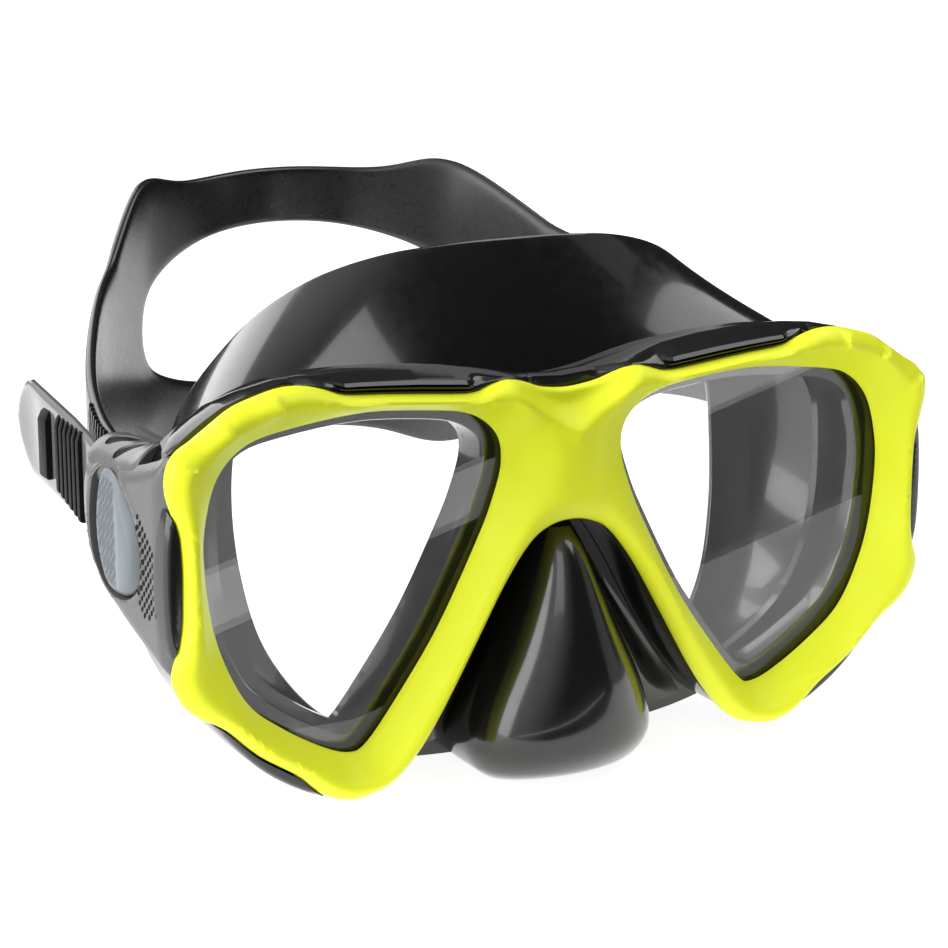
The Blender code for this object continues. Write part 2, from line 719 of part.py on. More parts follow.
def pad_outline_half():
    """Outer edge and opening of the split pad as (distance, z), top middle to bottom middle."""
    top = [(0, 91), (8, 90.9), (16, 90.3), (24, 90.2), (30, 91.6), (35, 92.7), (41, 91.8), (48, 88.4), (55, 84.2)]
    bottom = [(55, 40.2), (48, 35.6), (41, 31.9), (35, 30.8), (30, 31.6), (24, 33.6), (16, 34.6), (8, 34.9), (0, 35)]
    junction = [(62, 80 - 38 * i / 6) for i in range(7)]
    hole_top = [(0, 79.4), (6, 79.3), (12, 78.7), (18, 77.6), (24, 76), (29, 74.3), (33, 72.5), (36.5, 70.6), (39.2, 68.4)]
    hole_end = [(40.9, 66.4), (42, 64.4), (42.5, 62.4), (42.4, 60.4), (41.6, 58.6), (40.3, 56.8), (38.4, 54.9)]
    hole_bottom = [(36, 53.2), (33, 51.8), (29, 50.3), (24, 48.8), (18, 47.6), (13, 46.9), (8.6, 46.4), (4, 46.1), (0, 46)]
    return top + junction + bottom, hole_top + hole_end + hole_bottom


def arm_rows(hinge):
    """Middle height and half width along each arm, from the pad to the buckle."""
    return [
        (62, 61, 19), (67, 60.8, 17.6), (72, 60.6, 16.2), (78, 60.2, 14.4), (84, 59.6, 12.8),
        (91, 58.6, 11.2), (98, 57.2, 9.9), (105, 55.6, 8.8), (hinge - 6, 53.6, 8), (hinge, STRAP_Z, 8),
    ]


def build_strap_pad(material, datum):
    """The split pad and its two arms, one moulding of even thickness."""
    point_at, hinge = strap_surface()
    outer_half, hole_half = pad_outline_half()
    bm = bmesh.new()

    def vertex(distance, z):
        place = point_at(distance)
        return bm.verts.new((place.x, place.y, z))

    outer = mirrored(outer_half)
    hole = mirrored(hole_half)
    rings = []
    for share in (0, 1 / 3, 2 / 3, 1):
        ring = []
        for a, b in zip(hole, outer):
            ring.append(vertex(a[0] + (b[0] - a[0]) * share, a[1] + (b[1] - a[1]) * share))
        rings.append(ring)
    total = len(outer)
    for ring_a, ring_b in zip(rings, rings[1:]):
        for i in range(total):
            j = (i + 1) % total
            bm.faces.new((ring_a[i], ring_a[j], ring_b[j], ring_b[i]))
    first = 9
    for side in (1, -1):
        picks = range(first, first + 7) if side > 0 else range(total - first, total - first - 7, -1)
        column = [rings[-1][i] for i in picks]
        stations = arm_rows(hinge)[1:]
        for number, (distance, middle, half) in enumerate(stations):
            following = []
            for row in range(7):
                across = 1 - row / 3
                extra = 0.0
                if number == len(stations) - 1:
                    extra = half * math.sqrt(1 - across * across)
                if number == len(stations) - 2:
                    extra = 0.35 * half * math.sqrt(1 - across * across)
                following.append(vertex(side * (distance + extra), middle + across * half))
            for row in range(6):
                corners = (column[row], column[row + 1], following[row + 1], following[row])
                bm.faces.new(corners if side > 0 else reversed(corners))
            column = following
    bmesh.ops.recalc_face_normals(bm, faces=bm.faces)
    pad = make_object("strap_pad", bm, material, datum, (0, HINGE_Y, STRAP_Z))
    thicken = pad.modifiers.new("Thickness", "SOLIDIFY")
    thicken.thickness = PAD_THICK * MM
    thicken.offset = 0
    return pad


def build_buckle(label, side, materials, datum):
    build_housing(label, side, materials["buckle"], datum)
    build_base(label, side, materials["buckle"], datum)
    build_button(label, side, materials["button"], datum)
    build_pawl(label, side, materials["lever"], datum)
    build_spring(label, side, materials["steel"], datum)
    build_roller(label, side, materials["lever"], datum)
    build_strap_end(label, side, materials["strap"], datum)
    roller_pin = upright_rod(ROLLER_X, ROLLER_Y, CAVITY_LOW_Z - 1.1, CAVITY_HIGH_Z + 0.6, ROLLER_PIN_RADIUS)
    make_object(f"roller_pin_{label}", roller_pin, materials["steel"], datum, side=side)
    pivot_pin = upright_rod(PIVOT_X, PIVOT_Y, LEVER_LOW_Z - 2.7, LEVER_HIGH_Z + 2.7, PIVOT_RADIUS, 12)
    make_object(f"pivot_pin_{label}", pivot_pin, materials["steel"], datum, side=side)


def main():
    clear_scene()
    datum = bpy.data.objects.new("mask_datum", None)
    datum.location = (0, DATUM_Y * MM, DATUM_Z * MM)
    bpy.context.scene.collection.objects.link(datum)
    materials = {
        "trim": make_material("yellow_plastic", (0.9, 0.95, 0.06), 0.35),
        "frame": make_material("black_gloss_plastic", (0.02, 0.02, 0.022), 0.18),
        "glass": make_material("tempered_glass", (0.85, 0.88, 0.9), 0.03, alpha=0.25),
        "skirt": make_material("black_silicone", (0.03, 0.03, 0.03), 0.3),
        "strap": make_material("strap_silicone", (0.025, 0.025, 0.025), 0.35),
        "buckle": make_material("black_satin_plastic", (0.05, 0.05, 0.052), 0.4),
        "button": make_material("grey_plastic", (0.3, 0.34, 0.37), 0.45),
        "lever": make_material("dark_acetal", (0.1, 0.1, 0.1), 0.4),
        "steel": make_material("stainless_steel", (0.6, 0.6, 0.6), 0.25, metallic=1.0),
    }
    window, trim, frame = frame_loops()
    build_trim(window, trim, materials["trim"], datum)
    build_frame(window, frame, materials["frame"], datum)
    build_lens("lens_left", window, 1, materials["glass"], datum)
    build_lens("lens_right", window, -1, materials["glass"], datum)
    build_skirt(window, materials["skirt"], datum)
    build_strap_pad(materials["strap"], datum)
    for side, label in ((1, "left"), (-1, "right")):
        build_buckle(label, side, materials, datum)


main()
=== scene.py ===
"""Looks of the snorkel mask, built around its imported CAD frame.

Lengths in this file are millimetres in the part's own datum: X = 0 is the middle, Y = 0 the
front of the lens opening, Z = 0 the lowest corner of the trim. world() turns them into the
frame's metres. The wearer's left side is modelled, and the right side mirrors it.
"""

import json
from math import copysign, cos, pi, radians, sin, sqrt

import bmesh
import bpy
import numpy as np
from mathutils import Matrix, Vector, geometry

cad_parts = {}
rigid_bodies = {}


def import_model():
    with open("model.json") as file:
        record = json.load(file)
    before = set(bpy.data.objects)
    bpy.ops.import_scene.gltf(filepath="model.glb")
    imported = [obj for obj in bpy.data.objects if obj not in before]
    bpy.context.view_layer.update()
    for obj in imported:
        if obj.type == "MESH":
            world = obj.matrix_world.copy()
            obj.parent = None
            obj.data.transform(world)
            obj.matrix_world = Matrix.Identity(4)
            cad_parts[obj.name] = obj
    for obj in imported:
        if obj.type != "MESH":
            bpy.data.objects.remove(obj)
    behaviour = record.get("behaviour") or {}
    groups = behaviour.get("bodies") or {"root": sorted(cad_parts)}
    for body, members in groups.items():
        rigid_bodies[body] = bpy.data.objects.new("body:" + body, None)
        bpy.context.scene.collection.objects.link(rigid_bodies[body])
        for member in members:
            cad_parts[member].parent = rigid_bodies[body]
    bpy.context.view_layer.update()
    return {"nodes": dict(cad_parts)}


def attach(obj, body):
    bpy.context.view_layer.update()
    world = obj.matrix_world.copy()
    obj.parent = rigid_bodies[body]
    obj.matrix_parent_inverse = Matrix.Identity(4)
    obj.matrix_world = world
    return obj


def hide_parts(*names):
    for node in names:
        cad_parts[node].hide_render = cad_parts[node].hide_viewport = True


MM = 0.001
DATUM = np.array([0, -56.1, 3])
SIDES = ("left", "right")
# One millimetre towards the face.
INWARD = np.array([0, 1, 0])

# Camera and studio, in the frame's metres and in degrees.
CAMERA_PLACE = (-0.232224, -0.460030, 0.174126)
CAMERA_TILT = 75.696
CAMERA_TURN = -28
CAMERA_LENS = 104.59
LAMP_TARGET = (0, -0.02, 0.045)
# Softboxes: name, place, width, height and watts.
LAMPS = [
    ("side", (-0.90, 0.02, 0.25), 0.9, 0.7, 7.2),
    ("front", (-0.45, -0.60, 0.55), 0.35, 0.35, 0.65),
    ("over", (-0.55, 0.30, 0.72), 0.5, 0.4, 2),
    ("top", (0.40, -0.16, 0.70), 0.80, 0.42, 3),
    ("far", (0.60, -0.30, 0.25), 0.3, 0.5, 0.15),
    ("back", (-0.17, 0.74, 0.46), 0.45, 0.85, 2.8),
]
# A low strip in front gives the lenses their slanting light band.
STRIP_LAMP = ("strip", (0.09, -0.245, -0.001), 0.46, 0.027, 0.07)
STRIP_TURN = -31.5
SKY_BRIGHTEST = (-0.80, 0.10, 0.50)
# The floor's slanting front edge is what the lenses reflect as their lower band.
FLOOR_CORNERS = [(-0.45, -0.097), (-0.02, -0.097), (0.45, -0.333), (0.45, 0.65), (-0.45, 0.65)]
FLOOR_Z = -0.00005

# Outlines as (x, z): the wearer's left half, from the top middle to the bottom middle.
TRIM_HALF = [
    (0, 68.2), (5, 68.8), (9, 70.3), (12.5, 71.2), (15.5, 70.6), (18.5, 69.6), (22, 69.7),
    (28, 70.3), (36, 71.1), (43, 71.7), (46.5, 72.8), (50.5, 73.9), (55, 74), (60, 72.8),
    (63.6, 71.6), (67, 69.4), (70.7, 66.9), (73.7, 65), (75.1, 62.2), (75.2, 58.6), (74.3, 55.4),
    (73.1, 51.6), (72.7, 46), (72.8, 40), (73, 36), (73.8, 31.5), (75, 27.5), (73.2, 22.6),
    (70, 19.5), (66, 17.2), (60, 11.5), (53, 6.8), (50, 4), (47, 1.8), (43, 0.6), (39.5, 1),
    (35, 2.6), (30, 7.2), (25, 14.5), (18.5, 26), (13, 35.5), (8, 42), (4, 44.3), (0, 44.9),
]
FRAME_HALF = [
    (0, 68.4), (8, 69.2), (15, 70.9), (22, 72.2), (30, 73), (38, 73.4), (46, 73.3), (54, 72.3),
    (62, 69.4), (67.5, 66), (71.3, 62.8), (73.8, 58.6), (75.1, 53), (75.6, 46), (75.6, 38),
    (75, 32), (73, 26.5), (70.2, 21.5), (65.6, 15.5), (59.8, 9.2), (54, 4.9), (48, 1.9), (43, 0.9),
    (38, 2), (33, 5.2), (27.5, 11.9), (21, 22), (15, 33), (10, 40.5), (5, 44.8), (0, 46.2),
]
# Height of the brow's edge for x on the wearer's left.
BROW_EDGE = [
    (0, 70.3), (6.3, 70.7), (14.2, 72.3), (21.9, 73.8), (29.5, 74.6), (40.7, 75.1), (48, 74.8),
    (53, 74.3), (58.8, 73), (63.6, 71.4), (67, 69.4), (70.7, 66.9), (73.6, 64.4),
]
# The left window, all round.
WINDOW = [
    (12.6, 60.8), (17, 64.6), (24, 66.5), (38, 67.6), (52, 66.3), (60, 64.3), (65, 59.5),
    (67.3, 52), (67.7, 45), (66.6, 35), (64.2, 27), (60.2, 19.6), (54, 14.3), (46.7, 9.8),
    (41.5, 7.8), (38, 9), (31.4, 17.2), (24, 28), (16.6, 42), (13.6, 48.8), (11.7, 55.5),
]
# Bands round each window: distance outwards from its outline, and depth.
SEAT_SECTION = [(2.75, 6.8), (2.75, 10.9), (-0.6, 10.9), (-0.6, 7), (-0.4, 6.8)]
SEAL_SECTION = [
    (2.1, 4.95), (2.3, 5.2), (2.3, 6.15), (2.1, 6.4), (-0.9, 6.4), (-0.9, 12.5), (-2.5, 12.5),
    (-2.5, 5.4), (-2.3, 4.95),
]
LENS_POCKET = 2.7

# Trim: height of its ridge, and how far its slopes reach at most and as a share of its width.
RIDGE_RISE = 6.6
INNER_REACH, INNER_SHARE = 8, 0.62
OUTER_REACH, OUTER_SHARE = 4.2, 0.38
NOSE_REACH = 7.2
TRIM_BACK = 1
# The V over the nose: height in the middle, slope, rise, and the depth of the scoop above it.
VEE_Z = 61
VEE_SLOPE = 0.6
VEE_RISE = 0.9
VEE_SCOOP = 0.8
# Raised wedges on the outer shoulder: x, z and the way down in degrees.
WEDGES = [(70.9, 62.6, 118), (64.6, 68.6, 148), (55.8, 72, 168)]
WEDGE_LENGTH = 5.5
WEDGE_RADIUS = 8

# Frame: depths, and the height above which the brow panel covers it.
FRAME_FRONT = 3.3
FRAME_UNDER_TRIM = 1.35
FRAME_UNDER_BROW = 7.5
FRAME_BACK = 11
BROW_FOOT = 57.5
BROW_END = 73.5
BROW_BACK = 10.9
# Sections of the brow from the trim up to the frame's top: share of the way, and depth.
BROW_REAR = [(0.84, 0.5), (0.93, 2.6), (0.98, 5), (1, 8), (0.94, 10.9), (-0.16, 10.9)]
BROW_PLAIN = [
    (-0.16, 1.2), (-0.05, -1.6), (0.02, -2.5), (0.10, -2.75), (0.14, -2.8), (0.20, -2.75),
    (0.24, -2.7), (0.30, -2.6), (0.34, -2.5), (0.44, -2.2), (0.54, -1.8), (0.60, -1.5),
    (0.72, -0.8),
] + BROW_REAR
BROW_STRIP = [
    (-0.16, 1.2), (-0.05, -1.6), (0.02, -2.9), (0.09, -3.1), (0.12, -2.2), (0.17, -2.2),
    (0.20, -3.2), (0.27, -3.3), (0.30, -2.5), (0.36, -2.6), (0.40, -3.5), (0.56, -3), (0.62, -1.9),
] + BROW_REAR

# Skirt loops as (x, y, z).
SKIRT_ROOT_HALF = [
    (0, 11.3, 66), (12, 11.3, 68), (25, 11.3, 70.5), (40, 11.3, 72), (52, 11.3, 71),
    (61, 11.3, 67.2), (65.8, 11.3, 60), (67, 11.3, 50), (66.6, 11.3, 38), (64, 11.3, 27),
    (58.5, 11.3, 17), (50, 11.3, 9.5), (40, 11.3, 4.2), (28, 11.3, 1.2), (13, 11.3, 0),
    (0, 11.3, 0),
]
SKIRT_EDGE_HALF = [
    (0, 20, 91.5), (12, 20.6, 91.2), (24, 22.6, 89.8), (35, 26, 86.2), (44, 30, 80), (51, 33.5, 72),
    (57, 35.5, 63), (60.5, 35.5, 52), (60.5, 33.5, 38), (56.6, 31, 22), (49, 28.5, 8.5),
    (40, 27, -0.5), (32, 26, -3), (21, 25, -3), (10, 24.4, -3), (0, 24.2, -3),
]
SKIRT_LIP_HALF = [
    (0, 24, 80), (10, 24.4, 79.8), (20, 25.4, 78.8), (31, 27.6, 75.6), (40, 30, 70.6),
    (46, 31.6, 64), (49, 32.2, 57), (50, 32.2, 47), (49.4, 31, 35), (46.6, 29.2, 22),
    (41, 27.6, 12), (34, 26.3, 5), (27, 25.5, 2), (18, 24.9, 1.2), (9, 24.5, 1), (0, 24.3, 1),
]
SKIRT_WALL = 1.9
SKIRT_BULGE = 0.6
SKIRT_FLANGE = 6
# Share of the way to the face edge where the wall starts to roll over.
ROLL_START = 0.97
# Nose pocket: height, half width, front.
NOSE_SECTIONS = [
    (-3, 10, 1.5), (-1.9, 13.6, -4), (1, 16.6, -9.2), (6, 18, -12.4), (14, 15.8, -12.2),
    (24, 11.2, -10), (33, 7.4, -6.8), (39, 5, -3.9), (43, 3, -0.6),
]
NOSE_SIDE = 3.5
NOSE_BACK = 12.4
NOSE_WALL = 1.6
# The nose's opening in the skirt as (x, z), from the bottom up.
NOSE_HOLE_HALF = [(10, 1.6), (15.8, 2.4), (15.8, 8), (14, 15), (9.6, 24.5), (5.8, 33.5), (2.6, 40.5)]
# Gusset sections: height, inner x, outer x, depth.
GUSSET_SECTIONS = [
    (38, 4.5, 8.5, 9.6), (30, 8.5, 13.5, 8.6), (22, 12, 19, 8.2), (14, 15.4, 24.5, 8.6),
    (8, 17.2, 29, 9.6), (4, 17.6, 32, 10.6),
]
GUSSET_BACK = 12

HINGE_Y = 33
STRAP_Z = 53
STRAP_THICKNESS = 2.2
STRAP_PLAN_HALF = [
    (0, 123.5), (16, 120.5), (32, 111), (40, 102), (49, 89.5), (55, 80), (60, 70), (65, 58),
    (69, 44), (70.3, HINGE_Y), (70.3, 20),
]
# The head pad's outline and its hole, as (distance along the strap, z).
PAD_TOP = [
    (0, 91), (8, 90.9), (16, 90.3), (24, 90.2), (30, 91.6), (35, 92.7), (41, 91.8), (48, 88.4),
    (55, 84.2),
]
PAD_BOTTOM = [
    (55, 40.2), (48, 35.6), (41, 31.9), (35, 30.8), (30, 31.6), (24, 33.6), (16, 34.6), (8, 34.9),
    (0, 35),
]
PAD_HOLE = [
    (0, 79.4), (6, 79.3), (12, 78.7), (18, 77.6), (24, 76), (29, 74.3), (33, 72.5), (36.5, 70.6),
    (39.2, 68.4), (40.9, 66.4), (42, 64.4), (42.5, 62.4), (42.4, 60.4), (41.6, 58.6), (40.3, 56.8),
    (38.4, 54.9), (36, 53.2), (33, 51.8), (29, 50.3), (24, 48.8), (18, 47.6), (13, 46.9),
    (8.6, 46.4), (4, 46.1), (0, 46),
]
JUNCTION = [(62, 80 - 38 * i / 6) for i in range(7)]
# Arm sections from the junction on: distance along the strap, middle z, half width.
ARM_SECTIONS = [
    (62, 61, 19), (67, 60.8, 17.6), (72, 60.6, 16.2), (78, 60.2, 14.4), (84, 59.6, 12.8),
    (91, 58.6, 11.2), (98, 57.2, 9.9), (105, 55.6, 8.8),
]
ARM_HALF = 8
# The tail: distance of its two faces from the roller's axis, its half width in the buckle.
ROLLER_X = 72.9
ROLLER_Y = 18.5
TAIL_FACES = (1.8, 3.4)
TAIL_HALF_INSIDE = 6.6
TAIL_SLOPE = 0.125
TAIL_BEND_Y = 28
TAIL_ROUND_Y = 56
TAIL_END_Y = 66
TAIL_PLACES = [22, 26, 30, *np.arange(32, 53, 1.5), *np.arange(53.5, 63, 1.5), 63.8, 64.8, 65.5, 66]
TAIL_DISH_Y = 53
# Teeth: six narrow ones and one broad bar, as y, half width, reach up, reach down, rise.
TEETH = [(33.1 + 2.1 * k, 0.78, 8 - 0.12 * k, 8.3 - 0.3 * k, 0.75) for k in range(6)]
TEETH.append((50, 2.1, 6.3, 6.3, 1.1))

# Buckle outlines as (y, z).
WING_PROFILE = [
    (-1.2, 64), (2.1, 63), (7, 61.4), (12, 60.1), (17, 59.4), (21, 59.4), (24.2, 58.9),
    (26.2, 56.8), (27, 53), (26.7, 48), (25, 42.6), (20.8, 37.4), (15.4, 33.7), (7.3, 28.8),
    (2.5, 26.2), (-0.5, 25), (-1.2, 28), (-1.3, 36), (-1.3, 48), (-1.3, 58),
]
# Height of the buckle's crest by depth along Y.
CREST = [(-1.2, 64.6), (2.1, 63.2), (7, 61.3), (12, 60), (17, 59.2), (23.8, 59.3), (27, 59)]
# How far the buckle's face shifts outwards by height.
WING_STATIONS = [(10, -12), (15.5, -7.6), (21.5, -3.1), (28, -0.6), (34, 0), (90, 0)]
BUTTON_PROFILE = [
    (16.4, 58.8), (19.2, 57.6), (20.9, 52.6), (21.3, 47.3), (20.2, 42.3), (17.6, 38.4),
    (12.2, 37.9), (8.2, 40.2), (7.1, 43.7), (7.3, 47.6), (9, 51.8), (12.8, 56.6),
]
PERFORATION_FIELD = [
    (7.6, 54.6), (5.4, 52.6), (3.4, 49.8), (1.6, 46.4), (0.6, 42.2), (0, 38.2), (0.4, 36.2),
    (3.5, 35.9), (6.2, 36), (7.1, 38), (7.3, 42), (7.5, 48),
]
SLANT = 0.15
SLANT_Y = 17
SHELL_X = 76.5
SHELL_CROWN = 1.4
SHELL_INNER_X = 74.1
RECESS_X = 75.3
RECESS_GAP = 0.75
HOLE_DEPTH = 1.6
HOLES_FROM = (0.8, 36.2)
HOLE_PITCH = (1.5, 0.92)
HOLE_RADII = (0.6, 0.4)
HOLE_TILT = 68
# The cap seen from above, as (x, y), and its two slots as a middle line and a half width.
CAP_OUTLINE = [
    (69.6, 12.5), (71.5, 10.4), (74.5, 9.2), (76.8, 8.9), (77.25, 10.5), (77.35, 16), (77.3, 21),
    (77, 24.6), (75.6, 26.4), (72.4, 26.7), (69.9, 25.2), (69.4, 19),
]
CAP_SLOTS = [
    ([(74.4, 23.4), (73.2, 22.2), (72, 20.4), (71.2, 17.6)], 1.25),
    ([(75.9, 18.2), (74.7, 17.2), (73.3, 15.4), (72.2, 12.8)], 1.1),
]
CAP_OUTER_X = 77.4
CAP_RISE = 3.7
CAP_FOOT = 56
SLOT_DEPTH = 2
BUTTON_BACK = 77.3
BUTTON_EDGE = 77.45
RIDGE_PITCH = 1.15
RIDGE_DEPTH = 0.5
# Where the pad's domed front meets its ridged rear.
BUTTON_STEP_Y = 13.9


# ---- curves

def spline(points, steps, closed=True):
    """A smooth curve through the points, with the given steps between neighbours."""
    p = np.array(points, float)
    if not closed:
        p = np.vstack([2 * p[0] - p[1], p, 2 * p[-1] - p[-2]])
    total = len(p)
    curve = []
    spans = range(total) if closed else range(1, total - 2)
    for i in spans:
        a, b, c, d = (p[(i + k) % total] for k in (-1, 0, 1, 2))
        for step in range(steps):
            t = step / steps
            curve.append(0.5 * (
                2 * b + (c - a) * t + (2 * a - 5 * b + 4 * c - d) * t * t + (3 * b - a - 3 * c + d) * t ** 3
            ))
    if not closed:
        curve.append(p[-2])
    return np.array(curve)


def mirrored(half):
    return list(half) + [(-p[0], *p[1:]) for p in half[-2:0:-1]]


def flipped(loop):
    return loop * np.array([-1.0, 1.0])


def area(loop):
    nxt = np.roll(loop, -1, 0)
    return 0.5 * float(np.sum(loop[:, 0] * nxt[:, 1] - nxt[:, 0] * loop[:, 1]))


def unit(vectors):
    return vectors / (np.linalg.norm(vectors, axis=1)[:, None] + 1e-12)


def travelled(curve):
    """Length along a curve up to each of its points."""
    return np.concatenate([[0], np.cumsum(np.linalg.norm(np.diff(curve, axis=0), axis=1))])


def grown(loop, distance):
    """A flat loop offset outwards by a distance."""
    along = unit(np.roll(loop, -1, 0) - np.roll(loop, 1, 0))
    normal = np.stack([along[:, 1], -along[:, 0]], 1)
    return loop + normal * (-distance if area(loop) < 0 else distance)


def resampled(loop, spacing):
    """The closed loop with evenly spaced points."""
    ring = np.vstack([loop, loop[:1]])
    lengths = travelled(ring)
    count = max(8, int(round(lengths[-1] / spacing)))
    at = np.linspace(0, lengths[-1], count, endpoint=False)
    return np.stack([np.interp(at, lengths, ring[:, k]) for k in range(ring.shape[1])], 1)


def distance_to(points, loop):
    """Distance from each point to a closed loop."""
    best = np.full(len(points), 1e9)
    for a, b in zip(loop, np.roll(loop, -1, 0)):
        ab = b - a
        t = np.clip(((points - a) @ ab) / (ab @ ab + 1e-12), 0, 1)
        gap = points - (a + t[:, None] * ab)
        best = np.minimum(best, np.sum(gap * gap, axis=1))
    return np.sqrt(best)


def distance_to_any(points, loops):
    return np.min([distance_to(points, loop) for loop in loops], axis=0)


def inside(points, loop):
    """Whether each point is inside a closed loop."""
    x, y = points[:, 0], points[:, 1]
    result = np.zeros(len(points), bool)
    for (ax, ay), (bx, by) in zip(loop, np.roll(loop, -1, 0)):
        crosses = (ay > y) != (by > y)
        if ay != by:
            result ^= crosses & (x < (bx - ax) * (y - ay) / (by - ay) + ax)
    return result


def within(points, outline, *holes):
    """Whether each point is inside the outline and outside all its holes."""
    keep = inside(points, outline)
    for hole in holes:
        keep &= ~inside(points, hole)
    return keep


def covered(points, loop):
    """Whether each point is inside a loop or on it."""
    return inside(points, loop) | (distance_to(points, loop) < 0.02)


def eased(value, low, high):
    t = np.clip((value - low) / (high - low), 0, 1)
    return t * t * (3 - 2 * t)


def dome(value):
    """A quarter sine: 0 at 0 and 1 from 1 on, flat at the top."""
    return np.sin(np.pi / 2 * np.clip(value, 0, 1))


def levelled(value):
    """Rises evenly to 1 and stays there, without a corner."""
    return 0.5 * (1 + value - np.sqrt((1 - value) ** 2 + 0.05))


# ---- meshes

def world(points):
    return (np.asarray(points, float) + DATUM) * MM


def mesh_object(name, points, faces, sharp=40):
    """An object from datum points and faces, mirrored if its name ends in right."""
    places = world(points)
    if name.endswith("right"):
        places[:, 0] *= -1
        faces = [f[::-1] for f in faces]
    mesh = bpy.data.meshes.new(name)
    mesh.from_pydata([tuple(p) for p in places], [], [tuple(f) for f in faces])
    mesh.validate()
    bm = bmesh.new()
    bm.from_mesh(mesh)
    bmesh.ops.remove_doubles(bm, verts=bm.verts, dist=1e-7)
    bmesh.ops.recalc_face_normals(bm, faces=bm.faces)
    bm.to_mesh(mesh)
    bm.free()
    mesh.shade_smooth()
    if sharp:
        mesh.set_sharp_from_angle(angle=radians(sharp))
    item = bpy.data.objects.new(name, mesh)
    bpy.context.scene.collection.objects.link(item)
    return item


def tube_faces(first, count, rows, closed=False):
    """Faces over rows of points: capped at both ends, or with the last row joined to the first."""
    faces = []
    for row in range(rows if closed else rows - 1):
        low = first + row * count
        high = first + (row + 1) % rows * count
        for i in range(count):
            j = (i + 1) % count
            faces.append((low + i, low + j, high + j, high + i))
    if not closed:
        faces.append(tuple(range(first, first + count)))
        faces.append(tuple(range(first + (rows - 1) * count, first + rows * count)))
    return faces


def loft(name, rings, closed=False, sharp=40):
    """A skin over rings of equal length; closed joins the last ring to the first."""
    faces = tube_faces(0, len(rings[0]), len(rings), closed)
    return mesh_object(name, np.vstack(rings), faces, sharp)


def plate_mesh(outline, holes, creases, spacing, edge_steps):
    """Flat points and triangles filling an outline, dense along its edges.

    creases are extra closed loops that the triangles follow.
    """
    borders = [resampled(loop, spacing) for loop in [outline] + holes]
    followed = [resampled(loop, spacing * 0.8) if len(loop) > 14 else loop for loop in creases]
    points = []
    edges = []
    for loop in borders + followed:
        first = len(points)
        points += [tuple(p) for p in loop]
        edges += [(first + i, first + (i + 1) % len(loop)) for i in range(len(loop))]
    low, high = borders[0].min(0), borders[0].max(0)
    grid = []
    for k, z in enumerate(np.arange(low[1], high[1], spacing * 0.87)):
        xs = np.arange(low[0] + (k % 2) * spacing / 2, high[0], spacing)
        grid.append(np.stack([xs, np.full(len(xs), z)], 1))
    free = np.vstack(grid)
    free = free[within(free, *borders)]
    free = free[distance_to_any(free, borders) > max(edge_steps, default=0) + spacing * 0.45]
    if edge_steps:
        signs = [-1] + [1] * len(holes)
        rows = np.vstack([grown(loop, s * step) for loop, s in zip(borders, signs) for step in edge_steps])
        rows = rows[within(rows, *borders)]
        rows = rows[distance_to_any(rows, borders) > min(edge_steps) * 0.8]
        free = np.vstack([free, rows])
    if creases:
        free = free[distance_to_any(free, creases) > spacing * 0.22]
    points += [tuple(p) for p in free]
    flat, _, faces, _, _, _ = geometry.delaunay_2d_cdt(
        [Vector(p) for p in points], edges, [], 0, 1e-5, False,
    )
    flat = np.array([tuple(p) for p in flat])
    middles = np.array([flat[list(f)].mean(0) for f in faces])
    return flat, [f for f, keep in zip(faces, within(middles, *borders)) if keep]


def tucked(flat, outline, reach):
    """Flat points with those near the outline drawn in, furthest at the outline itself."""
    edge = resampled(outline, 1.2)
    gap = distance_to(flat, edge)
    step = 0.2
    slope = np.stack([
        distance_to(flat + move, edge) - distance_to(flat - move, edge) for move in step * np.eye(2)
    ], 1)
    # The distance rises on both sides of the outline, so its own points head for one within.
    nearest = resampled(grown(outline, -1), 0.6)
    index = np.argmin(((flat[:, None, :] - nearest[None]) ** 2).sum(2), axis=1)
    slope = unit(np.where(gap[:, None] < 2 * step, nearest[index] - flat, slope))
    share = np.clip(1 - gap / (1.8 * reach), 0, 1)
    return flat + slope * (reach * share)[:, None]


def relief(name, outline, holes, height, back, place, spacing, creases=(),
           edge_steps=(0.25, 0.6, 1.1), sharp=38, tuck=0):
    """A solid plate: a sculpted front over a flat outline, side walls and a plain back.

    height gives the front's depth for flat points, back is the back's depth or gives it, place
    turns (flat, depth) into datum points, and tuck draws the back in along the outline.
    """
    flat, faces = plate_mesh(outline, holes, creases, spacing, edge_steps)
    count = len(flat)
    edges = [(a, b) for f in faces for a, b in zip(f, f[1:] + f[:1])]
    known = set(edges)
    rim = [(a, b) for a, b in edges if (b, a) not in known]
    back_depth = back(flat) if callable(back) else np.full(count, float(back))
    behind = tucked(flat, outline, tuck) if tuck else flat
    points = np.vstack([place(flat, height(flat)), place(behind, back_depth)])
    solid = list(faces) + [tuple(count + i for i in reversed(f)) for f in faces]
    solid += [(b, a, a + count, b + count) for a, b in rim]
    return mesh_object(name, points, solid, sharp)


def on_front(flat, depth):
    """(x, z) points at a depth along Y."""
    return np.stack([flat[:, 0], np.broadcast_to(depth, len(flat)), flat[:, 1]], 1)


def on_wing(flat, depth):
    """(y, z) points on the buckle's leaning outer face."""
    heights, shifts = np.array(WING_STATIONS, float).T
    x = depth + SLANT * (flat[:, 0] - SLANT_Y) + np.interp(flat[:, 1], heights, shifts)
    return np.stack([x, flat[:, 0], flat[:, 1]], 1)


def on_top(flat, z):
    """(x, y) points at a height, leaning like the buckle's outer face."""
    return np.stack([flat[:, 0] + SLANT * (flat[:, 1] - SLANT_Y), flat[:, 1], z], 1)


def applied(item):
    """Turn an object's modifiers into its mesh."""
    bpy.context.view_layer.update()
    graph = bpy.context.evaluated_depsgraph_get()
    mesh = bpy.data.meshes.new_from_object(item.evaluated_get(graph))
    item.modifiers.clear()
    item.data = mesh


